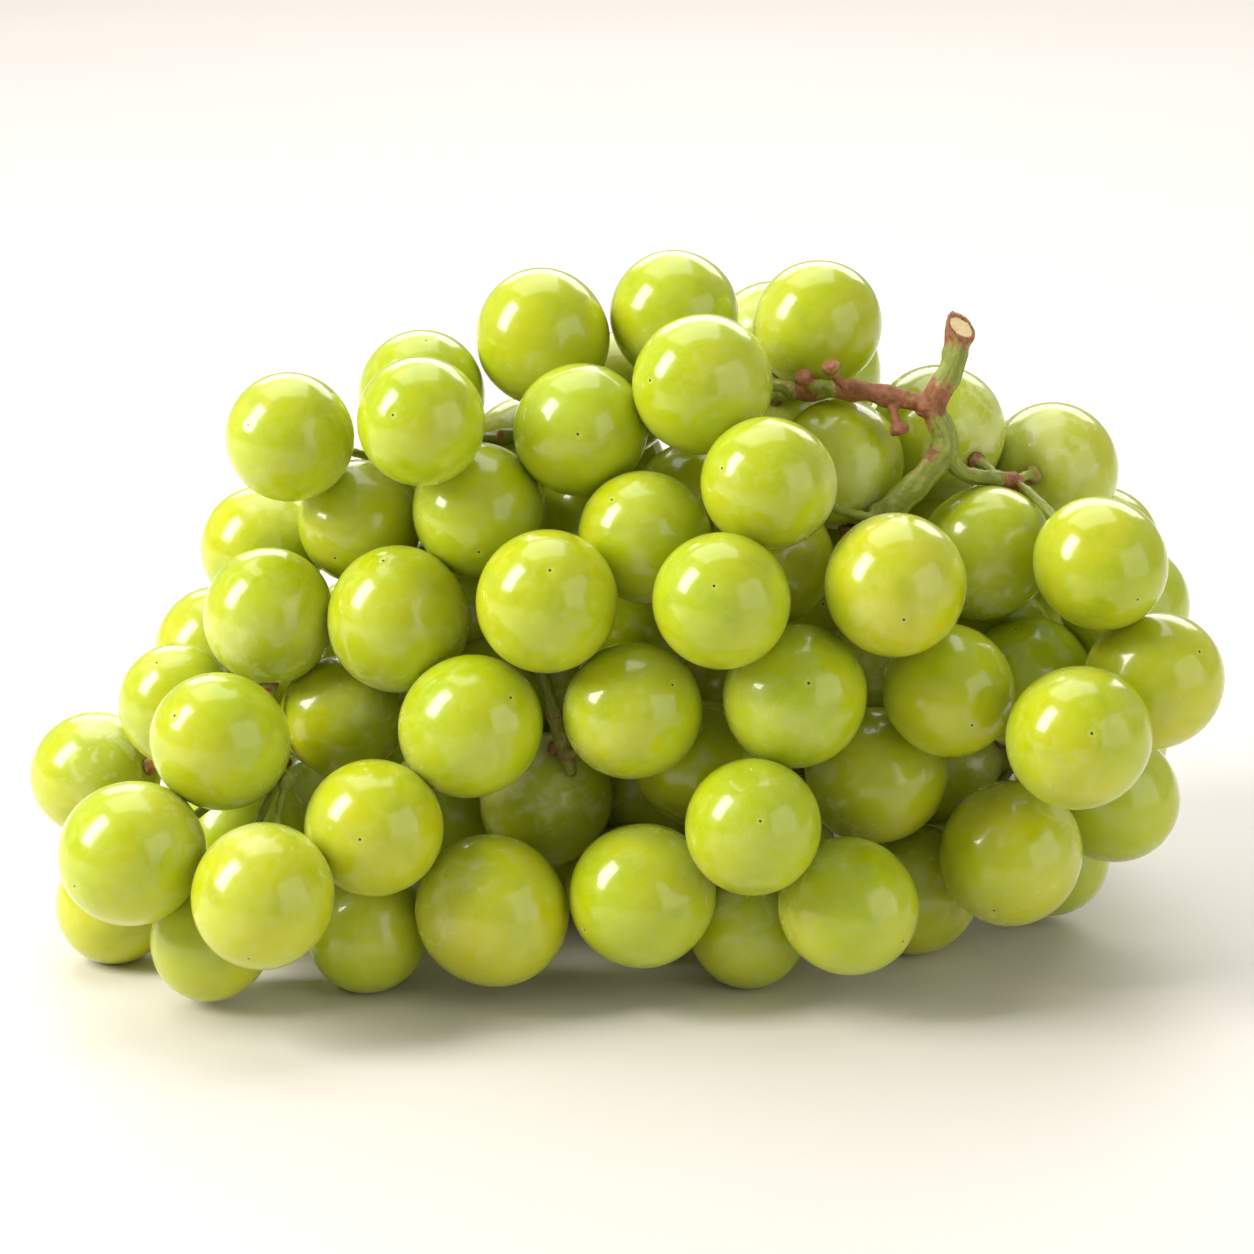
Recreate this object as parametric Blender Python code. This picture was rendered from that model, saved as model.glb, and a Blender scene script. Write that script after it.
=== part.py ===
"""Bunch of table grapes lying on its side, stalk and berries.

Lengths in the tables are millimetres and are turned into metres where objects are made.
+X runs along the bunch from its tip to its stalk, +Y is the far side, +Z is up, and the
bunch rests on Z = 0.  Each berry that shows is given by its place and width on a sheet that
faces the viewer; its depth comes from the heap's outline, the ground and the berries it lies
behind.  The inside is filled, and the berries are then pushed apart until none touches another
or the stalk, as they do when a bunch is laid down.
"""

import math

import bmesh
import bpy
import numpy as np
from mathutils import Vector

MM = 0.001

# Driving dimensions, millimetres.
BERRY_GAP = 0.35
BERRY_LENGTH_RATIO = 1.05
JOINED_OVERLAP = 2.4
REST_BAND = 1.5
STEM_GAP = 0.30

PEDUNCLE_RADIUS = 2.3
PEDUNCLE_CUT_RADIUS = 3.0
NODE_RADIUS = 3.1
AXIS_TIP_RADIUS = 1.2
LATERAL_RADIUS = 1.35
PEDICEL_RADIUS = 0.75
RECEPTACLE_RADIUS = 1.9
PEDICEL_RADII = (PEDICEL_RADIUS, PEDICEL_RADIUS, RECEPTACLE_RADIUS)
RECEPTACLE_LENGTH = 1.6
CLEAR_WAY = 0.8

# Facets round each form.
SHARP_ANGLE = 0.9
BERRY_SEGMENTS = 12
BERRY_RINGS = 7
JOINED_SEGMENTS = 10
JOINED_RINGS = 6
AXIS_SIDES = 8
LATERAL_SIDES = 6
PEDICEL_SIDES = 5

# The view that the berries are laid out in: tilt below level, distance and height looked at.
VIEW_TILT = math.radians(16)
VIEW_DISTANCE = 760.0
VIEW_HEIGHT = 58.0

# The heap that the bunch makes: along, height and half its depth.
HEAP = (
    (-118, 52, 22), (-95, 62, 33), (-60, 88, 43), (-25, 108, 50), (20, 120, 54),
    (50, 116, 54), (80, 104, 49), (105, 84, 42), (120, 60, 25),
)
HEAP_ROUNDNESS = 2.2
THINNEST_CORE = 3.0
LAYER_SINK = 7.0
LAYER_GAP = 6.0
COVERING = 0.9
GLIMPSE_DEPTH = 22.0
NEAREST_DEPTH = 640.0
FARTHEST_DEPTH = 860.0

# Arranging.
ARRANGE_STEPS = 900
SIDEWAYS = 0.12
SIGHT_PULL = 0.12
DEPTH_PULL = 0.004

# Filling.
FILL_GRID = 3.0
FILL_INSET = 15.5
REAR_INSET = 13.0
REAR_FROM = 20
FILLINGS = ((24.0, 1.5), (21.0, 1.0))

# Settling.
FIRST_STEPS = 700
MAIN_STEPS = 1600
LAST_STEPS = 500
FADE_FROM = 0.55
FIRM_PULL = 0.15
LOOSE_PULL = 0.03
FIRM_WEIGHT = 0.12
LOOSE_WEIGHT = 1.0

# Pedicels.
HUB_SPACING = 4.0
OBSTRUCTION_COST = 6.0
TOO_NEAR_COST = 100.0
SHORTEST_PEDICEL = 3.0

# Berries seen whole or in part, by the branch they grow on: right of the middle, above it,
# width, and layer, where 0 lies in front of every berry that it overlaps and -1 stands proud.
SEEN_BERRIES = {
    "top": ((-16, 55, 25, 2), (9, 59, 24, 2), (36, 57, 24, 1), (14, 46, 26, 1), (-9, 37, 25, 0)),
    "upper_left": (
        (-64, 36, 24, 0), (-39, 44, 24, 1), (-39, 39, 24, 0),
        (-28, 22, 25, 1), (-51, 20, 23, 2), (-69, 15, 23, 3),
    ),
    "upper_right": ((27, 27, 25, 0), (41, 30, 24, 1), (59, 37, 25, 2), (81, 30, 25, 2)),
    "right": (
        (68, 14, 25, 1), (90, 12, 25, 0), (93, 3, 24, 2),
        (100, -10, 26, 1), (86, -21, 27, 0), (92, -32, 25, 2),
    ),
    "front_right": ((51, 8, 27, 0), (18, 5, 26, 0), (62, -12, 25, 1), (32, -13, 27, 0), (47, -28, 26, 1)),
    "front_middle": ((4, 17, 25, 1), (-15, 5, 27, 0), (1, -16, 26, 0), (-13, -32, 25, 1), (14, -26, 24, 1)),
    "front_left": ((-43, 2, 27, 0), (-30, -19, 27, 0), (-54, -17, 23, 1)),
    "left": ((-68, 2, 25, 0), (-78, -4, 23, 2), (-85, -15, 23, 1), (-77, -22, 26, 0)),
    "tip": ((-69, -51, 27, 0), (-79, -59, 23, 1), (-94, -43, 27, 0), (-101, -28, 24, 1), (-97, -52, 23, 1)),
    "low_left": ((-48, -38, 26, -1), (-26, -54, 28, -1), (-49, -58, 23, 1)),
    "low_middle": ((3, -51, 27, 0), (24, -38, 26, 0), (23, -57, 23, 2)),
    "low_right": ((42, -53, 26, 1), (55, -50, 24, 2), (73, -43, 27, 1), (80, -43, 23, 2)),
}

# Berries glimpsed between those: right of the middle and above it.
GLIMPSED_DIAMETER = 24
GLIMPSED_LAYER = 4
GLIMPSED_BERRIES = (
    (-48, 34), (-3, 47), (37, 49), (-23, 34), (-12, 20), (-55, 7), (-30, 7), (29, 39), (57, 21),
    (76, -2), (9, 29), (0, 1), (-67, -15), (-74, -40), (-61, -36), (-14, -12), (-33, -36),
    (-8, -52), (47, -9), (64, -31), (82, -4), (1, -33), (33, 10),
)

# Rows of berries on the far side, which nobody sees from the front: height, how far across,
# where the row starts and how many berries it has.
ROW_SPACING = 25
ROW_BULGE = 12
BACK_ROWS = ((12, 46, -86, 8), (34, 52, -72, 7), (57, 50, -36, 5), (80, 42, -24, 5), (101, 37, 10, 2))
UNDER_ROW = (12, 14, -83, 6)

# Which joined group a berry belongs to, by where it lies.
GROUPS = ("inner_upper", "inner_left", "inner_right", "base", "back_left", "back_right")
BACK_FROM = 30
BACK_MIDDLE = 0
BASE_TOP = 20
UPPER_FROM = 70
INNER_MIDDLE = 8
LINK_REACH = 26.5
REGROUP_PASSES = 3

# The stalk: along, across, up.
PEDUNCLE_ROUTE = ((61, -14, 119), (59, -16, 111), (56, -17, 105), (58, -18, 97), (49, -21, 87))
AXIS_ROUTE = ((49, -21, 87), (36, -12, 72), (12, 2, 64), (-18, 6, 58), (-44, 8, 50), (-70, -12, 36))
LATERAL_ROUTES = {
    "wing": (
        (56, -17, 105), (41, -13, 107), (31, -5, 105), (20, 5, 103), (-4, 2, 98), (-28, 4, 93), (-44, 8, 87),
    ),
    "shoulder": ((58, -18, 97), (62, -16, 92), (72, -10, 89)),
    "far_shoulder": ((36, -12, 72), (48, 8, 63), (70, 22, 61)),
    "right_fork": ((36, -12, 72), (52, -14, 62), (66, -8, 46), (78, -14, 38)),
    "near_right": ((12, 2, 64), (22, -14, 58), (30, -24, 38), (21, -35, 28)),
    "far_right": ((12, 2, 64), (20, 26, 56), (26, 36, 46)),
    "near_middle": ((-18, 6, 58), (-16, -20, 56), (-10, -30, 38)),
    "far_left": ((-18, 6, 58), (-24, 26, 52), (-40, 28, 34)),
    "near_left": ((-44, 8, 50), (-38, -18, 46), (-44, -38, 30)),
    "tip": ((-70, -12, 36), (-84, -8, 34)),
    "near_tip": ((-70, -12, 36), (-65, -30, 39), (-61, -46, 42)),
}

# Pedicels that have lost their berries: from the stalk to the bare disc.
EMPTY_PEDICELS = {
    "empty_long": ((41, -13, 107), (38, -16, 110), (37, -17, 113)),
    "empty_short": ((34, -8, 106), (33, -12, 108), (32, -14, 110)),
    "stub": ((48, -15, 106), (49, -18, 103), (50, -19, 100)),
}

SKIN_COLOUR = (0.55, 0.62, 0.10, 1.0)
SKIN_ROUGHNESS = 0.32
STEM_COLOUR = (0.33, 0.38, 0.12, 1.0)
STEM_ROUGHNESS = 0.6


def clear_scene():
    """Remove every object that the file opened with."""
    for old in list(bpy.data.objects):
        bpy.data.objects.remove(old, do_unlink=True)


def make_material(name, colour, roughness):
    """Return a Principled material."""
    material = bpy.data.materials.new(name)
    material.use_nodes = True
    shader = material.node_tree.nodes["Principled BSDF"]
    shader.inputs["Base Color"].default_value = colour
    shader.inputs["Roughness"].default_value = roughness
    shader.inputs["Metallic"].default_value = 0.0
    material.diffuse_color = colour
    return material


def view_axes():
    """The viewer's eye and the view's forward and upward directions."""
    forward = np.array((0.0, math.cos(VIEW_TILT), -math.sin(VIEW_TILT)))
    upward = np.array((0.0, math.sin(VIEW_TILT), math.cos(VIEW_TILT)))
    return np.array((0.0, 0.0, VIEW_HEIGHT)) - forward * VIEW_DISTANCE, forward, upward


def sight_lines(rights, ups):
    """Directions to points of the sheet, each one millimetre long in depth."""
    _, forward, upward = view_axes()
    rightward = np.array((1.0, 0.0, 0.0))
    return forward + (np.outer(rights, rightward) + np.outer(ups, upward)) / VIEW_DISTANCE


def in_heap(places, inset):
    """Whether each place lies in the heap, at least the inset below its outline."""
    along, height, half_depth = np.array(HEAP, dtype=float).T
    middle = np.interp(places[:, 0], along, height) / 2
    deep = np.interp(places[:, 0], along, half_depth)
    across = np.abs(places[:, 1]) / np.maximum(deep - inset, THINNEST_CORE)
    up = np.abs(places[:, 2] - middle) / np.maximum(middle - inset, THINNEST_CORE)
    between_ends = (places[:, 0] > along[0] + inset) & (places[:, 0] < along[-1] - inset)
    return (across**HEAP_ROUNDNESS + up**HEAP_ROUNDNESS < 1) & between_ends


def first_depth(line, radius, layer):
    """How deep a berry starts on its sight line: under the heap's outline, and above the ground."""
    eye, _, _ = view_axes()
    depths = np.arange(NEAREST_DEPTH, FARTHEST_DEPTH)
    within = in_heap(eye + line * depths[:, None], radius + LAYER_SINK * layer)
    entry = depths[np.argmax(within)] if within.any() else -eye[1] / line[1]
    ground = (eye[2] - radius) / -line[2]
    return min(entry, ground)


def arrange(places, radii, lines, layers, seen):
    """Slide the berries along their sight lines until they clear each other and the ground.

    Berries that aren't seen may move any way.  Returns the new places.
    """
    eye, forward, _ = view_axes()
    starts = places.copy()
    first, second = np.triu_indices(len(places), 1)
    spread = (places - eye) / ((places - eye) @ forward)[:, None]
    shown = np.linalg.norm(spread[first] - spread[second], axis=1) * VIEW_DISTANCE
    covers = seen[first] & seen[second] & (shown < COVERING * (radii[first] + radii[second]))
    covers &= layers[first] != layers[second]
    in_front = np.where(layers[first] < layers[second], first, second)[covers]
    behind = np.where(layers[first] < layers[second], second, first)[covers]
    units = lines / np.linalg.norm(lines, axis=1, keepdims=True)
    freedom = np.where(seen, SIDEWAYS, 1.0)[:, None]
    weights = np.where(seen, FIRM_WEIGHT, LOOSE_WEIGHT)
    share = weights[first] / (weights[first] + weights[second])
    segments = all_segments()
    for _ in range(ARRANGE_STEPS):
        between = places[second] - places[first]
        distance = np.linalg.norm(between, axis=1)
        short = np.maximum(radii[first] + radii[second] + BERRY_GAP - distance, 0) * 0.5 / distance
        move = np.zeros_like(places)
        np.add.at(move, first, -(short * share)[:, None] * between)
        np.add.at(move, second, (short * (1 - share))[:, None] * between)
        nearest, thickness = nearest_on_routes(places, segments)
        off = places - nearest
        away = np.linalg.norm(off, axis=1)
        move += 0.3 * (np.maximum(radii + thickness + STEM_GAP - away, 0) / away)[:, None] * off
        deeper = (places[behind] - places[in_front]) @ forward
        late = np.maximum(LAYER_GAP - deeper, 0)[:, None] * 0.25
        np.add.at(move, in_front, -late * units[in_front])
        np.add.at(move, behind, late * units[behind])
        sunk = np.maximum(radii - places[:, 2], 0)
        move -= np.where(seen, sunk, 0)[:, None] * units
        along_sight = np.sum(move * units, axis=1, keepdims=True) * units
        move = along_sight + freedom * (move - along_sight)
        drift = places - eye - units * np.sum((places - eye) * units, axis=1, keepdims=True)
        home = np.sum((starts - places) * units, axis=1, keepdims=True) * units
        kept = DEPTH_PULL * home - SIGHT_PULL * drift
        move += np.where(seen[:, None], kept, LOOSE_PULL * (starts - places))
        places = places + move
        places[:, 2] = np.maximum(places[:, 2], np.where(seen, places[:, 2], radii))
    return places


def hidden_rows():
    """Places of the rows of berries on the far side and under the bunch."""
    places = []
    for up, across, start, count in (*BACK_ROWS, UNDER_ROW):
        for number in range(count):
            bulge = ROW_BULGE * math.sin(math.pi * (number + 0.5) / count)
            places.append((start + ROW_SPACING * number, across - ROW_BULGE + bulge, up))
    return np.array(places, dtype=float)


def fill_inside(places, radii):
    """Add berries wherever the heap's inside has room for one, the larger size first."""
    low = np.min(places, axis=0)
    high = np.max(places, axis=0)
    axes = [np.arange(start, stop, FILL_GRID) for start, stop in zip(low, high)]
    grid = np.stack(np.meshgrid(*axes, indexing="ij"), axis=-1).reshape(-1, 3)
    outer = (grid[:, 1] > REAR_FROM) | (grid[:, 2] < BASE_TOP)
    grid = grid[in_heap(grid, FILL_INSET) | (in_heap(grid, REAR_INSET) & outer)]
    nearest, thickness = nearest_on_routes(grid, all_segments())
    stalk_room = np.linalg.norm(grid - nearest, axis=1) - thickness
    for diameter, squeeze in FILLINGS:
        radius = diameter / 2
        while True:
            room = np.min(np.linalg.norm(grid[:, None] - places[None], axis=2) - radii[None], axis=1)
            room = np.minimum(room, stalk_room)
            room[grid[:, 2] < radius] = 0
            best = int(np.argmax(room))
            if room[best] < radius - squeeze:
                break
            places = np.vstack((places, grid[best]))
            radii = np.append(radii, radius)
    return places, radii


def group_at(place):
    """Name of the joined group that a hidden berry at this place belongs to."""
    along, across, up = place
    if across > BACK_FROM:
        return "back_left" if along < BACK_MIDDLE else "back_right"
    if up < BASE_TOP:
        return "base"
    if up > UPPER_FROM:
        return "inner_upper"
    return "inner_left" if along < INNER_MIDDLE else "inner_right"


def clusters(places, members):
    """Split the members into sets that lie within a link's reach of each other, largest first."""
    found = []
    loose = list(members)
    while loose:
        cluster = [loose.pop()]
        for berry in cluster:
            near = [i for i in loose if np.linalg.norm(places[i] - places[berry]) < LINK_REACH]
            cluster += near
            loose = [i for i in loose if i not in near]
        found.append(cluster)
    return sorted(found, key=len, reverse=True)


def group_hidden(places):
    """Name each hidden berry's group; one that lies apart goes to its nearest neighbour's."""
    owners = [group_at(place) for place in places]
    for _ in range(REGROUP_PASSES):
        for group in GROUPS:
            members = [i for i, owner in enumerate(owners) if owner == group]
            apart = [i for cluster in clusters(places, members)[1:] for i in cluster]
            others = [i for i, owner in enumerate(owners) if owner != group]
            for berry in apart:
                spaces = np.linalg.norm(places[others] - places[berry], axis=1)
                owners[berry] = owners[others[int(np.argmin(spaces))]]
    return owners


class Bunch:
    """The berries' centres, sizes and directions, in millimetres."""

    def __init__(self):
        rows = [row for branch in SEEN_BERRIES.values() for row in branch]
        glimpses = [(right, up, GLIMPSED_DIAMETER, GLIMPSED_LAYER) for right, up in GLIMPSED_BERRIES]
        places, radii = self.lay_out(rows, glimpses)
        self.names = []
        self.joined = []
        for branch, seen in SEEN_BERRIES.items():
            self.names += [f"berry_{branch}_{number}" for number in range(1, len(seen) + 1)]
            self.joined += [None] * len(seen)
        counts = dict.fromkeys(GROUPS, 0)
        for group in group_hidden(places[len(rows):]):
            counts[group] += 1
            self.names.append(f"{group}_{counts[group]}")
            self.joined.append(group)
        self.seats = places
        self.radii = radii
        self.centres = self.seats.copy()
        separate = np.array([group is None for group in self.joined])
        self.weights = np.where(separate, FIRM_WEIGHT, LOOSE_WEIGHT)
        self.pulls = np.where(separate, FIRM_PULL, LOOSE_PULL)[:, None]
        self.outward = self.away_from_axis()
        self.links = {}

    def lay_out(self, rows, glimpses):
        """Work out every berry's seat and radius, those that show first."""
        eye, forward, _ = view_axes()
        rights, ups, widths, layers = np.array(rows + glimpses, dtype=float).T
        lines = sight_lines(rights, ups)
        count = len(rows)
        depths = [first_depth(lines[i], widths[i] / 2, layers[i]) for i in range(count)]
        places = eye + lines[:count] * np.array(depths)[:, None]
        radii = widths[:count] / 2 * np.array(depths) / VIEW_DISTANCE
        seen = np.ones(count, dtype=bool)
        places = arrange(places, radii, lines[:count], layers[:count], seen)
        depths = (places - eye) @ forward
        radii = widths[:count] / 2 * depths / VIEW_DISTANCE
        for right, up, width, _ in glimpses:
            apart = np.hypot(rights[:count] - right, ups[:count] - up)
            covering = depths[apart < COVERING * (widths[:count] + width) / 2]
            depth = covering.mean() + GLIMPSE_DEPTH
            places = np.vstack((places, eye + sight_lines([right], [up])[0] * depth))
            radii = np.append(radii, width / 2)
        rear = hidden_rows()
        places = np.vstack((places, rear))
        radii = np.append(radii, np.full(len(rear), GLIMPSED_DIAMETER / 2))
        lines = np.vstack((lines, np.tile(forward, (len(rear), 1))))
        layers = np.append(layers, np.full(len(rear), GLIMPSED_LAYER))
        seen = np.arange(len(places)) < len(rows) + len(glimpses)
        places = arrange(places, radii, lines, layers, seen)
        return fill_inside(places, radii)

    def away_from_axis(self):
        """Unit directions from the stalk's nearest point to each berry."""
        nearest, _ = nearest_on_routes(self.centres, all_segments())
        away = self.centres - nearest
        return away / np.linalg.norm(away, axis=1, keepdims=True)

    def half_sizes(self, owner):
        """Half the length along the stem and half the width of the berries."""
        long_half = self.radii[owner] * 2 * BERRY_LENGTH_RATIO / (1 + BERRY_LENGTH_RATIO)
        return long_half, long_half / BERRY_LENGTH_RATIO

    def reach(self, directions, owner):
        """How far each berry's skin lies from its centre along unit directions."""
        long_half, short_half = self.half_sizes(owner)
        along = np.sum(directions * self.outward[owner], axis=-1) ** 2
        return 1 / np.sqrt(along / long_half**2 + (1 - along) / short_half**2)

    def link_groups(self):
        """Tie each joined group together by its shortest set of neighbours."""
        self.links = {}
        for group in GROUPS:
            members = [i for i, owner in enumerate(self.joined) if owner == group]
            tied = members[:1]
            loose = members[1:]
            while loose:
                spaces = np.linalg.norm(self.centres[tied][:, None] - self.centres[loose][None], axis=2)
                row, column = np.unravel_index(np.argmin(spaces), spaces.shape)
                near, far = tied[row], loose[column]
                self.links[(min(near, far), max(near, far))] = group
                tied.append(far)
                loose.remove(far)

    def settle(self, steps, linked):
        """Push the berries apart, off the stalk and onto the ground, keeping them near their seats."""
        count = len(self.names)
        first, second = np.triu_indices(count, 1)
        tied = np.zeros(len(first), dtype=bool)
        if linked:
            order = {pair: k for k, pair in enumerate(zip(first.tolist(), second.tolist()))}
            tied[[order[pair] for pair in self.links]] = True
        share = self.weights[first] / (self.weights[first] + self.weights[second])
        segments = all_segments()
        resting = self.seats[:, 2] - self.radii < REST_BAND
        for step in range(steps):
            fade = max(0.0, 1 - step / (steps * FADE_FROM))
            self.centres += fade * self.pulls * (self.seats - self.centres)
            between = self.centres[second] - self.centres[first]
            distance = np.linalg.norm(between, axis=1)
            direction = between / distance[:, None]
            room = self.reach(direction, first) + self.reach(direction, second)
            wanted = np.where(tied, room - JOINED_OVERLAP, room + BERRY_GAP)
            short = wanted - distance
            short = np.where(tied, short, np.maximum(short, 0)) * 0.5
            move = np.zeros_like(self.centres)
            np.add.at(move, first, -(short * share)[:, None] * direction)
            np.add.at(move, second, (short * (1 - share))[:, None] * direction)
            nearest, thickness = nearest_on_routes(self.centres, segments)
            off = self.centres - nearest
            away = np.linalg.norm(off, axis=1)
            needed = np.maximum(self.radii + thickness + STEM_GAP - away, 0)
            move += 0.5 * (needed / away)[:, None] * off
            self.centres += move
            lowest = self.reach(np.tile((0.0, 0.0, -1.0), (count, 1)), np.arange(count))
            floor = np.maximum(lowest, self.centres[:, 2])
            self.centres[:, 2] = np.where(resting, lowest, floor)


def all_segments():
    """Every straight stretch of the stalk that berries keep off: start, end and radius."""
    stretches = []
    for start, end in zip(PEDUNCLE_ROUTE, PEDUNCLE_ROUTE[1:]):
        stretches.append((start, end, NODE_RADIUS))
    for start, end in zip(AXIS_ROUTE, AXIS_ROUTE[1:]):
        stretches.append((start, end, PEDUNCLE_RADIUS))
    for route in (*LATERAL_ROUTES.values(), *EMPTY_PEDICELS.values()):
        for start, end in zip(route, route[1:]):
            stretches.append((start, end, LATERAL_RADIUS))
    starts = np.array([s[0] for s in stretches], dtype=float)
    ends = np.array([s[1] for s in stretches], dtype=float)
    return starts, ends, np.array([s[2] for s in stretches])


def nearest_on_routes(points, segments):
    """The closest point of the stalk's surface line to each point, and its radius there."""
    starts, ends, thickness = segments
    spans = ends - starts
    offsets = points[:, None] - starts[None]
    along = np.clip(np.sum(offsets * spans, axis=2) / np.sum(spans**2, axis=1), 0, 1)
    feet = starts + along[:, :, None] * spans
    clearance = np.linalg.norm(points[:, None] - feet, axis=2) - thickness
    best = np.argmin(clearance, axis=1)
    rows = np.arange(len(points))
    return feet[rows, best], thickness[best]


def tube_mesh(name, points, radii, sides):
    """A closed tube through the points, with a flat face at each end."""
    bm = bmesh.new()
    rings = []
    side = None
    for index, (point, radius) in enumerate(zip(points, radii)):
        before = points[max(index - 1, 0)]
        after = points[min(index + 1, len(points) - 1)]
        forward = (after - before).normalized()
        if side is None:
            side = forward.orthogonal().normalized()
        side = (side - forward * side.dot(forward)).normalized()
        across = forward.cross(side)
        ring = []
        for corner in range(sides):
            turn = 2 * math.pi * corner / sides
            offset = side * math.cos(turn) + across * math.sin(turn)
            ring.append(bm.verts.new((point + offset * float(radius)) * MM))
        rings.append(ring)
    for near, far in zip(rings, rings[1:]):
        for corner in range(sides):
            following = (corner + 1) % sides
            bm.faces.new((near[corner], near[following], far[following], far[corner]))
    bm.faces.new(list(reversed(rings[0])))
    bm.faces.new(rings[-1])
    bmesh.ops.recalc_face_normals(bm, faces=bm.faces)
    mesh = bpy.data.meshes.new(name)
    bm.to_mesh(mesh)
    bm.free()
    return mesh


def add_object(name, mesh):
    """Put a mesh in the scene under a name."""
    made = bpy.data.objects.new(name, mesh)
    bpy.context.scene.collection.objects.link(made)
    return made


def fuse(name, pieces):
    """Union the pieces into one object at the origin and drop the pieces and their cutters."""
    base = pieces[0]
    others = bpy.data.collections.new(name + "_pieces")
    bpy.context.scene.collection.children.link(others)
    for piece in pieces[1:]:
        bpy.context.scene.collection.objects.unlink(piece)
        others.objects.link(piece)
    union = base.modifiers.new("union", "BOOLEAN")
    union.operation = "UNION"
    union.solver = "EXACT"
    union.operand_type = "COLLECTION"
    union.collection = others
    depsgraph = bpy.context.evaluated_depsgraph_get()
    mesh = bpy.data.meshes.new_from_object(base.evaluated_get(depsgraph))
    mesh.transform(base.matrix_world)
    mesh.name = name
    for piece in pieces:
        for cut in piece.modifiers:
            if cut.type == "BOOLEAN" and cut.object:
                bpy.data.objects.remove(cut.object, do_unlink=True)
        bpy.data.objects.remove(piece, do_unlink=True)
    bpy.data.collections.remove(others)
    return add_object(name, mesh)


def stalk_pieces():
    """Peduncle, main axis and laterals: points, radii and facets of each."""
    peduncle = [Vector(p) for p in PEDUNCLE_ROUTE]
    peduncle_radii = [PEDUNCLE_CUT_RADIUS, PEDUNCLE_RADIUS, NODE_RADIUS, NODE_RADIUS, PEDUNCLE_RADIUS]
    axis = [Vector(p) for p in AXIS_ROUTE[1:]]
    axis_radii = list(np.linspace(PEDUNCLE_RADIUS, AXIS_TIP_RADIUS, len(axis)))
    pieces = {"axis": (peduncle + axis, peduncle_radii + axis_radii, AXIS_SIDES)}
    for name, route in LATERAL_ROUTES.items():
        points = [Vector(p) for p in route]
        pieces[name] = (points, [LATERAL_RADIUS] * len(points), LATERAL_SIDES)
    for name, route in EMPTY_PEDICELS.items():
        points = [Vector(p) for p in route]
        pieces[name] = (points, PEDICEL_RADII, PEDICEL_SIDES)
    return pieces


def hub_points():
    """Places along the main axis and the laterals where a pedicel may start."""
    hubs = []
    for route in (AXIS_ROUTE, *LATERAL_ROUTES.values()):
        for start, end in zip(np.array(route, dtype=float), np.array(route[1:], dtype=float)):
            steps = max(int(np.linalg.norm(end - start) / HUB_SPACING), 1)
            for step in range(1, steps + 1):
                hubs.append(start + (end - start) * step / steps)
    return np.array(hubs)


def segment_distance(starts, ends, point):
    """Distance from a point to each stretch from a start to an end."""
    spans = ends - starts
    along = np.clip(np.sum((point - starts) * spans, axis=-1) / np.sum(spans**2, axis=-1), 0, 1)
    return np.linalg.norm(point - starts - along[..., None] * spans, axis=-1)


def choose_hubs(bunch):
    """Give each berry the hub with the shortest way to it that other berries leave open."""
    hubs = hub_points()
    chosen = []
    blocked = []
    for owner, centre in enumerate(bunch.centres):
        way = centre - hubs
        length = np.linalg.norm(way, axis=1)
        ends = centre - way / length[:, None] * bunch.radii[owner]
        obstruction = np.zeros(len(hubs))
        for other, obstacle in enumerate(bunch.centres):
            if other != owner:
                space = segment_distance(hubs, ends, obstacle) - PEDICEL_RADIUS - STEM_GAP
                obstruction += np.maximum(bunch.radii[other] - space, 0)
        too_near = length < bunch.radii[owner] * BERRY_LENGTH_RATIO + SHORTEST_PEDICEL
        best = int(np.argmin(length + OBSTRUCTION_COST * obstruction + TOO_NEAR_COST * too_near))
        chosen.append(hubs[best])
        blocked.append(obstruction[best])
    bunch.hubs = np.array(chosen)
    bunch.blocked = np.array(blocked)
    away = bunch.centres - bunch.hubs
    bunch.outward = away / np.linalg.norm(away, axis=1, keepdims=True)


def pedicel_piece(bunch, owner):
    """A pedicel's points, radii and facets, widening to the disc that meets its berry."""
    outward = bunch.outward[owner]
    skin = bunch.reach(outward[None], np.array([owner]))[0]
    end = bunch.centres[owner] - outward * (skin + STEM_GAP)
    neck = end - outward * RECEPTACLE_LENGTH
    points = [Vector(bunch.hubs[owner]), Vector(neck), Vector(end)]
    return points, PEDICEL_RADII, PEDICEL_SIDES


def add_berry(name, bunch, owner, segments, rings):
    """Place a berry at its centre, longer along its stem, with its poles on that line."""
    bm = bmesh.new()
    bmesh.ops.create_uvsphere(bm, u_segments=segments, v_segments=rings, radius=1.0)
    long_half, short_half = bunch.half_sizes(owner)
    bmesh.ops.scale(bm, vec=Vector((short_half, short_half, long_half)) * MM, verts=bm.verts)
    mesh = bpy.data.meshes.new(name)
    bm.to_mesh(mesh)
    bm.free()
    mesh.shade_smooth()
    made = add_object(name, mesh)
    made.location = Vector(bunch.centres[owner]) * MM
    made.rotation_euler = Vector(bunch.outward[owner]).to_track_quat("Z", "Y").to_euler()
    return made


def cut_for_stalk(berry, bunch, owner, pieces):
    """Cut a berry clear of each piece of the stalk that runs through its skin, its own pedicel apart."""
    centre = bunch.centres[owner]
    for name, (points, radii, sides, held) in pieces.items():
        starts = np.array(points[:-1], dtype=float)
        ends = np.array(points[1:], dtype=float)
        thickest = np.maximum(radii[:-1], radii[1:])
        depth = bunch.radii[owner] + thickest - segment_distance(starts, ends, centre)
        if held == owner or depth.max() < 0:
            continue
        wider = [radius + STEM_GAP for radius in radii]
        cutter = add_object(f"clearance_{name}_{berry.name}", tube_mesh(name, points, wider, sides))
        cutter.hide_render = True
        cutter.display_type = "WIRE"
        cut = berry.modifiers.new(name, "BOOLEAN")
        cut.operation = "DIFFERENCE"
        cut.solver = "EXACT"
        cut.object = cutter


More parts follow.
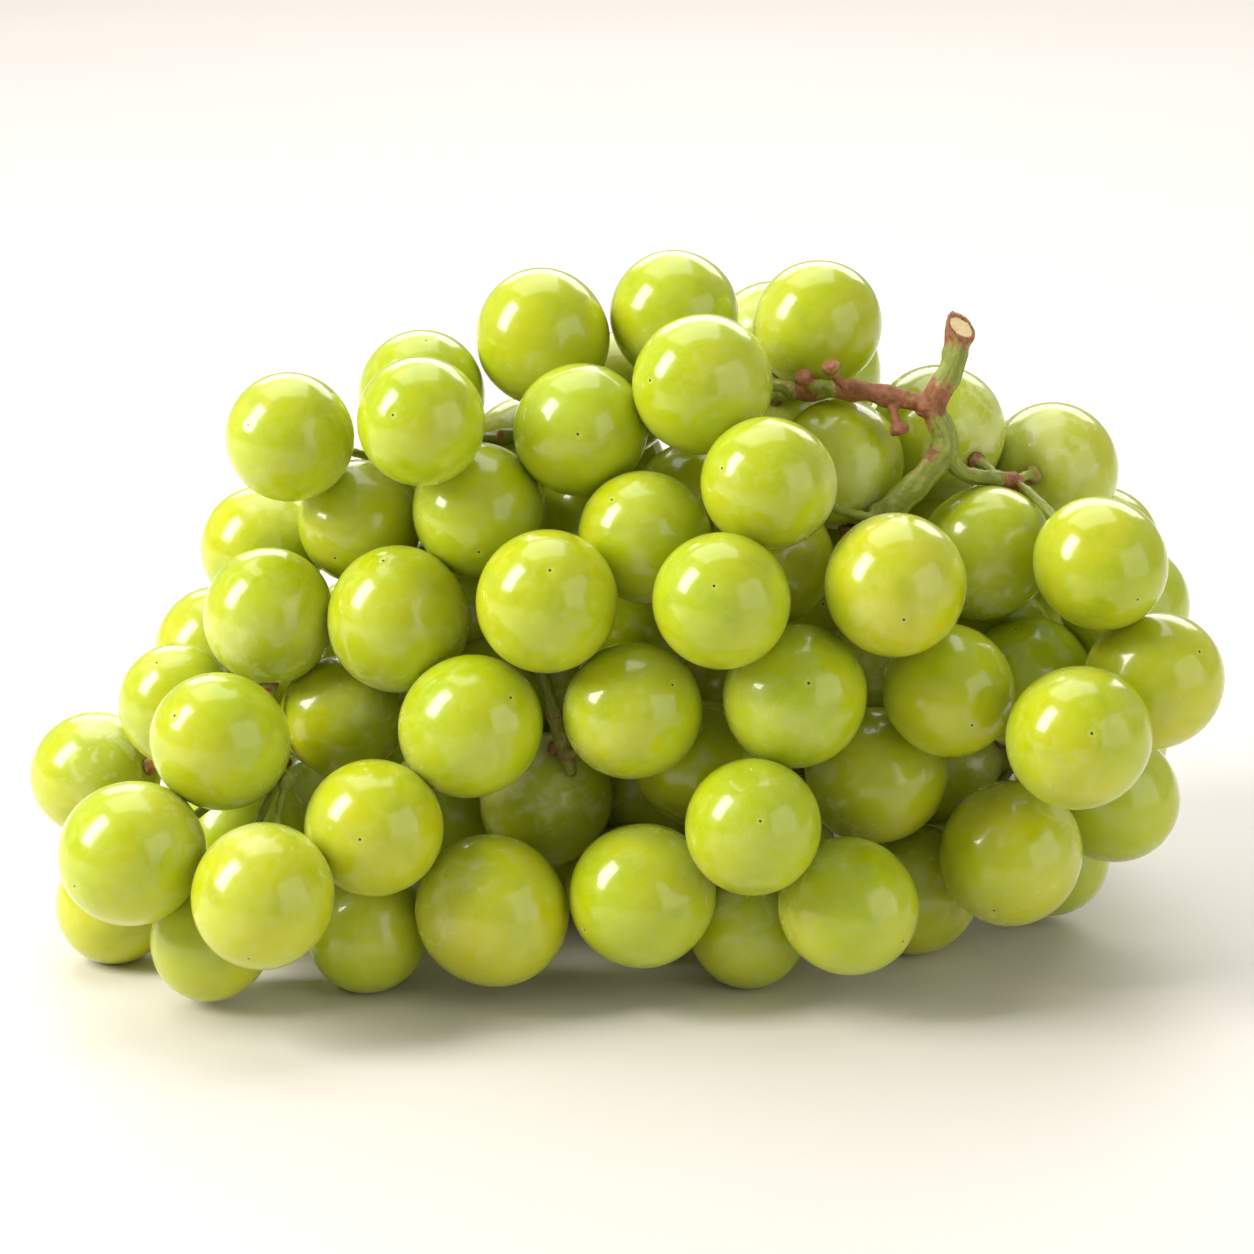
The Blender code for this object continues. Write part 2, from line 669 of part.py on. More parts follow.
def centre_on_base():
    """Hang everything on an empty that puts the middle of the bunch's underside at the origin."""
    bpy.context.view_layer.update()
    solids = [made for made in bpy.data.objects if not made.hide_render]
    corners = np.array([made.matrix_world @ vertex.co for made in solids for vertex in made.data.vertices])
    low, high = corners.min(axis=0), corners.max(axis=0)
    everything = list(bpy.data.objects)
    middle = add_object("bunch", None)
    for made in everything:
        made.parent = middle
    middle.location = (-(low[0] + high[0]) / 2, -(low[1] + high[1]) / 2, -low[2])


def build():
    """Model the whole bunch."""
    clear_scene()
    skin = make_material("berry_skin", SKIN_COLOUR, SKIN_ROUGHNESS)
    stem = make_material("stem_wood", STEM_COLOUR, STEM_ROUGHNESS)

    bunch = Bunch()
    bunch.settle(FIRST_STEPS, linked=False)
    bunch.link_groups()
    bunch.settle(MAIN_STEPS, linked=True)
    choose_hubs(bunch)
    bunch.settle(LAST_STEPS, linked=True)
    choose_hubs(bunch)

    pieces = {name: (*piece, None) for name, piece in stalk_pieces().items()}
    for owner, group in enumerate(bunch.joined):
        if group is None or bunch.blocked[owner] < CLEAR_WAY:
            pieces["pedicel_" + bunch.names[owner]] = (*pedicel_piece(bunch, owner), owner)
    solids = [add_object(name, tube_mesh(name, *piece[:3])) for name, piece in pieces.items()]
    rachis = fuse("rachis", solids)
    rachis.data.materials.append(stem)
    rachis.data.shade_smooth()
    rachis.data.set_sharp_from_angle(angle=SHARP_ANGLE)

    loose = {group: [] for group in GROUPS}
    for owner, (name, group) in enumerate(zip(bunch.names, bunch.joined)):
        if group is None:
            berry = add_berry(name, bunch, owner, BERRY_SEGMENTS, BERRY_RINGS)
            berry.data.materials.append(skin)
            cut_for_stalk(berry, bunch, owner, pieces)
        else:
            berry = add_berry(name, bunch, owner, JOINED_SEGMENTS, JOINED_RINGS)
            cut_for_stalk(berry, bunch, owner, pieces)
            loose[group].append(berry)
    for group, berries in loose.items():
        joined = fuse("berries_" + group, berries)
        joined.data.materials.append(skin)
        joined.data.shade_smooth()
    centre_on_base()


build()
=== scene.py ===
"""Bunch of large green table grapes lying on its side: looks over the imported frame.

The berries' places, sizes and directions are read from the frame's own solids.  The stalk
is drawn along the same routes as its solid.  Lengths in the tables are millimetres.
"""

import logging
import math
from dataclasses import dataclass, field
from enum import Enum

import bmesh
import bpy
import numpy as np
from mathutils import Matrix, Vector
from mathutils.kdtree import KDTree


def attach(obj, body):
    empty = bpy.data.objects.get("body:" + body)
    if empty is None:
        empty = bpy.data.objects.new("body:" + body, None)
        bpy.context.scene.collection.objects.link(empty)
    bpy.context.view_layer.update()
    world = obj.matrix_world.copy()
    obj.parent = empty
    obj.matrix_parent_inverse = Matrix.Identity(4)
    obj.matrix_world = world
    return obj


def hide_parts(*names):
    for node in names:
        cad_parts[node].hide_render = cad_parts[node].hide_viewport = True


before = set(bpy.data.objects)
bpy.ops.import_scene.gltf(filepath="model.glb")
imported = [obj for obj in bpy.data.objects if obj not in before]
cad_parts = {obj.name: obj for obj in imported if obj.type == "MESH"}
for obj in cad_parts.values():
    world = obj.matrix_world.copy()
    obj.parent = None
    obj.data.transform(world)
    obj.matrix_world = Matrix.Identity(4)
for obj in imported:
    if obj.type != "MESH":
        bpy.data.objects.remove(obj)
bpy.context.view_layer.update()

MM = 0.001
STEM_END_REACH = 1.02
LOG = logging.getLogger("grapes")

Colour = tuple[float, float, float]
Point = tuple[float, float, float]


class Slot(Enum):
    """The record's material slots."""

    SKIN = "berry_skin"
    STEM = "stem_wood"


class Build(Enum):
    """How finely a berry is modelled."""

    FINE = "fine"
    HIDDEN = "hidden"


# ---------------------------------------------------------------- helpers


def settle_selection() -> None:
    """Leave edit mode and deselect everything."""
    if bpy.context.object and bpy.context.object.mode != "OBJECT":
        bpy.ops.object.mode_set(mode="OBJECT")
    bpy.ops.object.select_all(action="DESELECT")


def take(made: bpy.types.Object) -> bpy.types.Object:
    """Select one object alone and make it active.

    Args:
        made: The object to work on.

    Returns:
        The same object.
    """
    settle_selection()
    made.select_set(True)
    bpy.context.view_layer.objects.active = made
    return made


def pick_vertices(made: bpy.types.Object, low: float, high: float) -> None:
    """Select the vertices whose height lies between two values, and stay in edit mode.

    Args:
        made: The mesh object.
        low: Lowest local Z.
        high: Highest local Z.
    """
    bpy.ops.object.mode_set(mode="EDIT")
    bpy.ops.mesh.select_mode(type="VERT")
    bpy.ops.mesh.select_all(action="DESELECT")
    bpy.ops.object.mode_set(mode="OBJECT")
    for vertex in made.data.vertices:
        vertex.select = low <= vertex.co.z <= high
    bpy.ops.object.mode_set(mode="EDIT")


def apply_all(made: bpy.types.Object) -> None:
    """Apply every modifier of an object in order.

    Args:
        made: The object.
    """
    take(made)
    for modifier in list(made.modifiers):
        bpy.ops.object.modifier_apply(modifier=modifier.name)


def dress(made: bpy.types.Object, material: bpy.types.Material, slot: Slot, *nodes: str) -> bpy.types.Object:
    """Give a finished piece its material and body, and hide the solids that it stands for.

    Args:
        made: The finished piece, its place in its mesh.
        material: Its finish.
        slot: The record's slot of that finish; not used.
        nodes: Names of the solids that the piece replaces.

    Returns:
        The piece.
    """
    made.data.materials.clear()
    made.data.materials.append(material)
    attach(made, "root")
    if nodes:
        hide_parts(*nodes)
    return made


def put_attribute(mesh: bpy.types.Mesh, name: str, values: np.ndarray) -> None:
    """Store one number or one vector for each vertex.

    Args:
        mesh: The mesh.
        name: The attribute's name.
        values: Shape (n,) for numbers or (n, 3) for vectors.
    """
    kind, key = ("FLOAT", "value") if values.ndim == 1 else ("FLOAT_VECTOR", "vector")
    layer = mesh.attributes.new(name, kind, "POINT")
    layer.data.foreach_set(key, np.ascontiguousarray(values, dtype=np.float32).ravel())


def coordinates(mesh: bpy.types.Mesh) -> np.ndarray:
    """Every vertex of a mesh as an (n, 3) array."""
    out = np.empty(len(mesh.vertices) * 3)
    mesh.vertices.foreach_get("co", out)
    return out.reshape(-1, 3)


# ---------------------------------------------------------------- reading the frame


@dataclass
class BerrySite:
    """Where one berry sits.

    The outward direction runs from its stem end to its tip, where the flower's scar is.
    """

    name: str
    node: str
    centre: Vector
    outward: Vector
    radius: float
    build: Build = Build.FINE

    @property
    def stem_end(self) -> Vector:
        """The point of the skin that meets the pedicel."""
        return self.centre - self.outward * self.radius * STEM_END_REACH


@dataclass
class FrameReader:
    """Finds the separate berries in the frame's solids."""

    merge: float = 2e-6
    concave: float = -0.25
    pole_fan: int = 10
    smallest_shell: int = 8
    stalk: np.ndarray = field(default_factory=lambda: coordinates(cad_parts["rachis"].data))

    def shells(self, node: str) -> list[tuple[np.ndarray, np.ndarray]]:
        """Part a solid into its rounded shells along the creases between them.

        Args:
            node: The solid's name.

        Returns:
            For each shell, its own vertices and the poles among them.
        """
        solid = bmesh.new()
        solid.from_mesh(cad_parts[node].data)
        bmesh.ops.remove_doubles(solid, verts=solid.verts, dist=self.merge)
        solid.faces.ensure_lookup_table()
        creases = {
            e for e in solid.edges
            if len(e.link_faces) != 2 or e.calc_face_angle_signed(0.0) < self.concave
        }
        crossed = {v for e in creases for v in e.verts}
        seen: set[int] = set()
        found = []
        for start in solid.faces:
            if start.index in seen:
                continue
            seen.add(start.index)
            shell = [start]
            for face in shell:
                for edge in face.edges:
                    if edge in creases:
                        continue
                    for other in edge.link_faces:
                        if other.index not in seen:
                            seen.add(other.index)
                            shell.append(other)
            own = {v for face in shell for v in face.verts} - crossed
            poles = [v.co[:] for v in own if len(v.link_edges) >= self.pole_fan]
            if len(own) > self.smallest_shell:
                found.append((np.array([v.co[:] for v in own]), np.array(poles).reshape(-1, 3)))
        solid.free()
        return found

    def fit(self, points: np.ndarray) -> tuple[np.ndarray, float]:
        """Fit a ball to points on its skin.

        Args:
            points: The points, shape (n, 3).

        Returns:
            Its centre and radius.
        """
        table = np.c_[2 * points, np.ones(len(points))]
        answer, *_ = np.linalg.lstsq(table, (points**2).sum(1), rcond=None)
        centre = answer[:3]
        return centre, float(math.sqrt(answer[3] + centre @ centre))

    def site(self, name: str, node: str, points: np.ndarray, poles: np.ndarray, build: Build) -> BerrySite:
        """Read one berry from its shell.

        Args:
            name: The berry's own name.
            node: The solid that holds it.
            points: The shell's vertices.
            poles: The poles that still show.
            build: How finely it is to be made.

        Returns:
            The berry's site.
        """
        centre, radius = self.fit(points)
        if len(poles) == 2:
            centre = poles.mean(0)
        if not len(poles):
            poles = self.stalk[np.argmin(np.linalg.norm(self.stalk - centre, axis=1))][None]
        lines = np.concatenate([poles - centre, centre - poles])
        lines /= np.linalg.norm(lines, axis=1, keepdims=True)
        stem_ends = centre - lines * radius
        gaps = np.linalg.norm(self.stalk[None] - stem_ends[:, None], axis=2).min(axis=1)
        outward = lines[np.argmin(gaps)]
        return BerrySite(name, node, Vector(centre), Vector(outward), radius, build)

    def read(self) -> list[BerrySite]:
        """Read every berry of the bunch, in the order of the solids' names."""
        sites = []
        for node in sorted(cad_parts):
            shells = [] if node == "rachis" else self.shells(node)
            if node.startswith("berry_"):
                points, poles = max(shells, key=lambda shell: len(shell[0]))
                sites.append(self.site(node.removeprefix("berry_"), node, points, poles, Build.FINE))
                continue
            for number, (points, poles) in enumerate(shells, start=1):
                name = f"{node.removeprefix('berries_')}_{number}"
                sites.append(self.site(name, node, points, poles, Build.HIDDEN))
        return sites


# ---------------------------------------------------------------- shader building


@dataclass
class Sketch:
    """A node tree being drawn: short ways to add and join its nodes."""

    tree: bpy.types.NodeTree

    def put(self, socket: bpy.types.NodeSocket, value: object) -> None:
        """Feed a socket from another socket, or set it to a constant.

        Args:
            socket: The input.
            value: An output socket, a number or a tuple.
        """
        if isinstance(value, bpy.types.NodeSocket):
            self.tree.links.new(value, socket)
        else:
            socket.default_value = value

    def add(self, kind: str, inputs: dict[object, object], **settings: object) -> bpy.types.Node:
        """Add one node.

        Args:
            kind: The node's type, without the leading ShaderNode.
            inputs: What feeds each input, by name or number.
            settings: The node's own settings.

        Returns:
            The node.
        """
        node = self.tree.nodes.new(f"ShaderNode{kind}")
        for key, value in settings.items():
            setattr(node, key, value)
        for key, value in inputs.items():
            self.put(node.inputs[key], value)
        return node

    def calc(self, operation: str, *values: object) -> bpy.types.NodeSocket:
        """The result of one Math node."""
        return self.add("Math", dict(enumerate(values)), operation=operation).outputs[0]

    def times(self, first: object, second: object) -> bpy.types.NodeSocket:
        """The product of two values."""
        return self.calc("MULTIPLY", first, second)

    def vector(self, operation: str, first: object, second: object) -> bpy.types.NodeSocket:
        """The vector result of one Vector Math node."""
        return self.add("VectorMath", {0: first, 1: second}, operation=operation).outputs["Vector"]

    def rise(self, value: object, start: object, end: object) -> bpy.types.NodeSocket:
        """A smooth step from 0 at the start to 1 at the end."""
        inputs = {"Value": value, "From Min": start, "From Max": end}
        return self.add("MapRange", inputs, interpolation_type="SMOOTHSTEP").outputs["Result"]

    def between(self, value: object, low: float, high: float) -> bpy.types.NodeSocket:
        """A mask of 0..1 brought to the range from low to high."""
        return self.add("MapRange", {"Value": value, "To Min": low, "To Max": high}).outputs["Result"]

    def blend(self, factor: object, under: object, over: object) -> bpy.types.NodeSocket:
        """One colour laid over another."""
        node = self.add("Mix", {0: factor, 6: under, 7: over}, data_type="RGBA")
        return node.outputs[2]

    def attribute(self, name: str, output: str) -> bpy.types.NodeSocket:
        """One output of the node that reads a stored attribute."""
        return self.add("Attribute", {}, attribute_name=name).outputs[output]

    def group(self, tree: bpy.types.NodeTree, inputs: dict[str, object]) -> bpy.types.Node:
        """Add a group node.

        Args:
            tree: The group's tree.
            inputs: What feeds each of its sockets.

        Returns:
            The group node.
        """
        node = self.tree.nodes.new("ShaderNodeGroup")
        node.node_tree = tree
        for key, value in inputs.items():
            self.put(node.inputs[key], value)
        return node


def srgb(red: int, green: int, blue: int) -> tuple[float, float, float, float]:
    """A colour picked on a screen, as the linear colour that a shader takes."""
    channels = []
    for part in (red / 255, green / 255, blue / 255):
        channels.append(part / 12.92 if part <= 0.04045 else ((part + 0.055) / 1.055) ** 2.4)
    return (*channels, 1.0)


@dataclass(frozen=True)
class Socket:
    """A named socket of a shader group, with its starting value if it is an input."""

    name: str
    kind: str = "NodeSocketFloat"
    start: float | None = None


def open_group(name: str, inputs: list[Socket], outputs: list[Socket]) -> tuple[Sketch, dict, dict]:
    """Start a shader group with its sockets.

    Args:
        name: The group's name.
        inputs: Its inputs.
        outputs: Its outputs.

    Returns:
        The sketch of its tree, its inputs as sockets to read, and its outputs as sockets to feed.
    """
    tree = bpy.data.node_groups.new(name, "ShaderNodeTree")
    for socket in inputs:
        made = tree.interface.new_socket(socket.name, in_out="INPUT", socket_type=socket.kind)
        if socket.start is not None:
            made.default_value = socket.start
    for socket in outputs:
        tree.interface.new_socket(socket.name, in_out="OUTPUT", socket_type=socket.kind)
    entry = tree.nodes.new("NodeGroupInput")
    leave = tree.nodes.new("NodeGroupOutput")
    given = {socket.name: entry.outputs[socket.name] for socket in inputs}
    wanted = {socket.name: leave.inputs[socket.name] for socket in outputs}
    return Sketch(tree), given, wanted


class SharedEffects:
    """The shader groups that the skin and the bark both use."""

    def __init__(self) -> None:
        """Build the three groups."""
        self.patches = self.make_patches()
        self.specks = self.make_specks()
        self.streaks = self.make_streaks()

    def make_patches(self) -> bpy.types.NodeTree:
        """Soft cloudy patches: noise with its middle spread out."""
        place = Socket("Vector", "NodeSocketVector")
        numbers = [Socket("Scale", start=2.0), Socket("Detail", start=3.0), Socket("Distortion", start=0.0)]
        edges = [Socket("Start", start=0.4), Socket("End", start=0.6)]
        sketch, given, wanted = open_group("soft_patches", [place, *numbers, *edges], [Socket("Mask")])
        noise = {key: given[key] for key in ("Vector", "Scale", "Detail", "Distortion")}
        cloud = sketch.add("TexNoise", noise).outputs["Fac"]
        sketch.put(wanted["Mask"], sketch.rise(cloud, given["Start"], given["End"]))
        return sketch.tree

    def make_specks(self) -> bpy.types.NodeTree:
        """Scattered round dots, each with a wider soft ring around it."""
        place = Socket("Vector", "NodeSocketVector")
        numbers = [Socket("Scale", start=10.0), Socket("Size", start=0.1), Socket("Share", start=0.2)]
        sketch, given, wanted = open_group("specks", [place, *numbers], [Socket("Dot"), Socket("Ring")])
        cells = sketch.add("TexVoronoi", {"Vector": given["Vector"], "Scale": given["Scale"]})
        draw = sketch.add("SeparateColor", {0: cells.outputs["Color"]})
        kept = sketch.calc("LESS_THAN", draw.outputs["Red"], given["Share"])
        size = sketch.times(given["Size"], sketch.between(draw.outputs["Green"], 0.5, 1.3))
        distance = cells.outputs["Distance"]
        dot = sketch.rise(distance, size, sketch.times(size, 0.6))
        ring = sketch.rise(distance, sketch.times(size, 3.0), size)
        sketch.put(wanted["Dot"], sketch.times(dot, kept))
        sketch.put(wanted["Ring"], sketch.times(ring, kept))
        return sketch.tree

    def make_streaks(self) -> bpy.types.NodeTree:
        """Fine noise drawn out along the vector's Z."""
        place = Socket("Vector", "NodeSocketVector")
        numbers = [Socket("Scale", start=8.0), Socket("Length", start=5.0)]
        edges = [Socket("Start", start=0.4), Socket("End", start=0.65)]
        sketch, given, wanted = open_group("streaks", [place, *numbers, *edges], [Socket("Mask")])
        shorter = sketch.calc("DIVIDE", 1.0, given["Length"])
        stretch = sketch.add("CombineXYZ", {"X": 1.0, "Y": 1.0, "Z": shorter}).outputs[0]
        drawn = sketch.vector("MULTIPLY", given["Vector"], stretch)
        noise = {"Vector": drawn, "Scale": given["Scale"], "Detail": 5.0, "Roughness": 0.6}
        cloud = sketch.add("TexNoise", noise).outputs["Fac"]
        sketch.put(wanted["Mask"], sketch.rise(cloud, given["Start"], given["End"]))
        return sketch.tree


def open_material(name: str) -> tuple[bpy.types.Material, Sketch, bpy.types.Node]:
    """Start a material.

    Args:
        name: Its name.

    Returns:
        The material, the sketch of its tree and its Principled BSDF.
    """
    material = bpy.data.materials.new(name)
    material.use_nodes = True
    shader = material.node_tree.nodes["Principled BSDF"]
    return material, Sketch(material.node_tree), shader


@dataclass(frozen=True)
class BerrySkin:
    """Translucent yellow-green skin under a thin waxy bloom.

    It reads a berry's own place on a ball of radius 1, with Z from the stem end at -1 to the tip
    at 1, and three numbers drawn for each berry: pattern, bloom and ripeness.
    """

    fresh: tuple = srgb(172, 190, 4)
    golden: tuple = srgb(200, 196, 2)
    deep: tuple = srgb(140, 164, 4)
    pale: tuple = srgb(212, 220, 110)
    bloom: tuple = srgb(232, 234, 186)
    fleck: tuple = srgb(98, 78, 22)
    scar: tuple = srgb(38, 26, 14)
    glow_depth: float = 4.0 * MM
    glow_share: tuple[float, float, float] = (1.0, 0.9, 0.15)
    scar_size: float = 0.026

    def make(self, effects: SharedEffects) -> bpy.types.Material:
        """Build the material.

        Args:
            effects: The shared shader groups.

        Returns:
            The material.
        """
        material, sketch, shader = open_material("berry_skin")
        place = sketch.attribute("skin_place", "Vector")
        drawn = sketch.attribute("berry_draw", "Vector")
        draw = sketch.add("SeparateXYZ", {0: drawn}).outputs
        axes = sketch.add("SeparateXYZ", {0: place}).outputs
        shift = sketch.add("VectorMath", {0: drawn, "Scale": 37.0}, operation="SCALE").outputs["Vector"]
        own = sketch.vector("ADD", place, shift)

        colour = self.flesh(sketch, effects, own, draw)
        stem_end = sketch.rise(axes["Z"], 0.2, -0.85)
        wax = self.wax(sketch, effects, own, draw, stem_end)
        colour = sketch.blend(sketch.times(stem_end, 0.18), colour, self.pale)
        colour = sketch.blend(sketch.times(wax, 0.55), colour, self.bloom)

        strewn = {"Vector": own, "Scale": 7.0, "Size": 0.075, "Share": 0.05}
        flecks = sketch.group(effects.specks, strewn).outputs
        colour = sketch.blend(sketch.times(flecks["Ring"], 0.3), colour, self.pale)
        colour = sketch.blend(sketch.times(flecks["Dot"], 0.7), colour, self.fleck)
        scar, ring = self.scar_masks(sketch, axes)
        colour = sketch.blend(sketch.times(ring, 0.35), colour, self.pale)
        colour = sketch.blend(scar, colour, self.scar)

        dull = sketch.calc("ADD", sketch.between(wax, 0.22, 0.45), sketch.times(scar, 0.4))
        fine = sketch.add("TexNoise", {"Vector": own, "Scale": 34.0, "Detail": 4.0}).outputs["Fac"]
        height = sketch.calc("MULTIPLY_ADD", wax, 0.35, sketch.times(fine, 0.5))
        height = sketch.calc("SUBTRACT", height, sketch.calc("ADD", scar, flecks["Dot"]))
        bump = sketch.add("Bump", {"Strength": 0.25, "Distance": 0.08 * MM, "Height": height})

        sketch.put(shader.inputs["Base Color"], colour)
        sketch.put(shader.inputs["Roughness"], dull)
        sketch.put(shader.inputs["Normal"], bump.outputs["Normal"])
        shader.inputs["IOR"].default_value = 1.42
        shader.inputs["Subsurface Weight"].default_value = 0.8
        shader.inputs["Subsurface Scale"].default_value = self.glow_depth
        shader.inputs["Subsurface Radius"].default_value = self.glow_share
        shader.inputs["Coat Weight"].default_value = 0.5
        shader.inputs["Coat Roughness"].default_value = 0.05
        shader.inputs["Sheen Weight"].default_value = 0.05
        shader.inputs["Sheen Roughness"].default_value = 0.35
        shader.inputs["Sheen Tint"].default_value = self.bloom
        return material

    def flesh(
        self, sketch: Sketch, effects: SharedEffects, own: object, draw: object
    ) -> bpy.types.NodeSocket:
        """Colour below the wax: green, golden and deeper patches with faint veins.

        Args:
            sketch: The material's tree.
            effects: The shared shader groups.
            own: The berry's own coordinates.
            draw: The numbers drawn for the berry.

        Returns:
            The colour.
        """
        broad = {"Vector": own, "Scale": 0.8, "Start": 0.3, "End": 0.75}
        warm = sketch.group(effects.patches, broad).outputs[0]
        ripe = sketch.calc("MULTIPLY_ADD", warm, 0.45, sketch.times(draw["Z"], 0.4))
        colour = sketch.blend(ripe, self.fresh, self.golden)
        dark = {"Vector": own, "Scale": 1.9, "Detail": 4.0, "Distortion": 0.6, "Start": 0.48, "End": 0.75}
        deep = sketch.group(effects.patches, dark).outputs[0]
        colour = sketch.blend(sketch.times(deep, 0.3), colour, self.deep)
        veins = {"Vector": own, "Scale": 5.0, "Length": 4.0, "Start": 0.5, "End": 0.72}
        vein = sketch.group(effects.streaks, veins).outputs[0]
        colour = sketch.blend(sketch.times(vein, 0.12), colour, self.pale)
        pulp = {"Vector": own, "Scale": 7.0, "Detail": 8.0, "Distortion": 0.8, "Start": 0.42, "End": 0.62}
        mottle = sketch.group(effects.patches, pulp).outputs[0]
        return sketch.blend(sketch.times(mottle, 0.08), colour, self.pale)

    def wax(
        self, sketch: Sketch, effects: SharedEffects, own: object, draw: object, stem_end: object
    ) -> bpy.types.NodeSocket:
        """Where the bloom still lies: rubbed clouds, brushed wisps and a cap at the stem end.

        Args:
            sketch: The material's tree.
            effects: The shared shader groups.
            own: The berry's own coordinates.
            draw: The numbers drawn for the berry.
            stem_end: Mask of the stem end.

        Returns:
            The mask.
        """
        soft = {"Vector": own, "Scale": 1.3, "Detail": 8.0, "Distortion": 0.2, "Start": 0.42, "End": 0.72}
        cloud = sketch.group(effects.patches, soft).outputs[0]
        rubbed = {"Vector": own, "Scale": 4.2, "Detail": 12.0, "Distortion": 0.5, "Start": 0.5, "End": 0.64}
        wisp = sketch.group(effects.patches, rubbed).outputs[0]
        lying = sketch.calc("MULTIPLY_ADD", cloud, 0.34, sketch.times(wisp, 0.26))
        kept = sketch.times(sketch.between(stem_end, 0.4, 2.1), sketch.between(draw["Y"], 0.3, 1.3))
        return sketch.add("Math", {0: lying, 1: kept}, operation="MULTIPLY", use_clamp=True).outputs[0]

    def scar_masks(self, sketch: Sketch, axes: object) -> tuple[bpy.types.NodeSocket, bpy.types.NodeSocket]:
        """The dry dot at the tip and the pale ring around it.

        Args:
            sketch: The material's tree.
            axes: The three parts of the place on the berry.

        Returns:
            The masks of the dot and of the ring.
        """
        squares = [sketch.times(axes[key], axes[key]) for key in ("X", "Y")]
        distance = sketch.calc("SQRT", sketch.calc("ADD", *squares))
        tip = sketch.calc("GREATER_THAN", axes["Z"], 0.0)
        dot = sketch.rise(distance, self.scar_size, self.scar_size * 0.55)
        ring = sketch.rise(distance, self.scar_size * 3.2, self.scar_size)
        return sketch.times(dot, tip), sketch.times(ring, tip)


@dataclass(frozen=True)
class StalkBark:
    """Ridged green stalk that turns brown and warty at the joints, with a pale cut end.

    It reads where the stalk is woody, where it is cut, and a grain vector that runs along each
    branch in Z.
    """

    green: tuple = srgb(126, 136, 42)
    ridge: tuple = srgb(176, 182, 98)
    brown: tuple = srgb(158, 102, 66)
    dark: tuple = srgb(88, 52, 32)
    blush: tuple = srgb(176, 116, 84)
    wart: tuple = srgb(74, 48, 30)
    cut_wood: tuple = srgb(236, 214, 158)
    pith: tuple = srgb(196, 160, 104)

    def make(self, effects: SharedEffects) -> bpy.types.Material:
        """Build the material.

        Args:
            effects: The shared shader groups.

        Returns:
            The material.
        """
        material, sketch, shader = open_material("stem_wood")
        grain = sketch.attribute("grain", "Vector")
        ridged = {"Vector": grain, "Scale": 1.3, "Length": 9.0, "Start": 0.38, "End": 0.66}
        ridges = sketch.group(effects.streaks, ridged).outputs[0]
        blotch = {"Vector": grain, "Scale": 0.7, "Detail": 5.0, "Start": 0.3, "End": 0.72}
        blotches = sketch.group(effects.patches, blotch).outputs[0]
        knobbly = {"Vector": grain, "Scale": 0.75, "Size": 0.22, "Share": 0.22}
        warts = sketch.group(effects.specks, knobbly).outputs

        woody = sketch.calc("ADD", sketch.attribute("woody", "Fac"), sketch.between(blotches, -0.22, 0.22))
        bark = sketch.rise(woody, 0.38, 0.62)
        edge = sketch.times(sketch.rise(woody, 0.24, 0.42), sketch.rise(woody, 0.72, 0.5))
        colour = sketch.blend(sketch.times(ridges, 0.55), self.green, self.ridge)
        colour = sketch.blend(sketch.times(warts["Dot"], 0.6), colour, self.brown)
        brown = sketch.blend(sketch.times(blotches, 0.55), self.brown, self.dark)
        brown = sketch.blend(sketch.times(ridges, 0.35), brown, self.blush)
        brown = sketch.blend(sketch.times(warts["Dot"], 0.7), brown, self.wart)
        colour = sketch.blend(bark, colour, brown)
        colour = sketch.blend(sketch.times(edge, 0.35), colour, self.blush)

        cut = sketch.rise(sketch.attribute("cut", "Fac"), 0.25, 0.6)
        rings = {"Vector": grain, "Scale": 2.4, "Detail": 6.0, "Distortion": 1.0, "Start": 0.4, "End": 0.65}
        ringed = sketch.times(sketch.group(effects.patches, rings).outputs[0], 0.3)
        wood = sketch.blend(ringed, self.cut_wood, self.pith)
        colour = sketch.blend(cut, colour, wood)

        fine = sketch.add("TexNoise", {"Vector": grain, "Scale": 5.0, "Detail": 6.0}).outputs["Fac"]
        height = sketch.calc("MULTIPLY_ADD", ridges, 0.6, sketch.times(fine, 0.6))
        height = sketch.calc("ADD", height, sketch.times(warts["Dot"], 0.8))
        height = sketch.calc("ADD", height, sketch.times(sketch.times(bark, blotches), 0.8))
        bump = sketch.add("Bump", {"Strength": 0.5, "Distance": 0.25 * MM, "Height": height})
        sketch.put(shader.inputs["Base Color"], colour)
        sketch.put(shader.inputs["Roughness"], sketch.between(bark, 0.42, 0.62))
        sketch.put(shader.inputs["Normal"], bump.outputs["Normal"])
        shader.inputs["IOR"].default_value = 1.4
        shader.inputs["Subsurface Weight"].default_value = 0.12
        shader.inputs["Subsurface Scale"].default_value = 0.8 * MM
        shader.inputs["Subsurface Radius"].default_value = (1.0, 0.8, 0.3)
        return material


# ---------------------------------------------------------------- berries


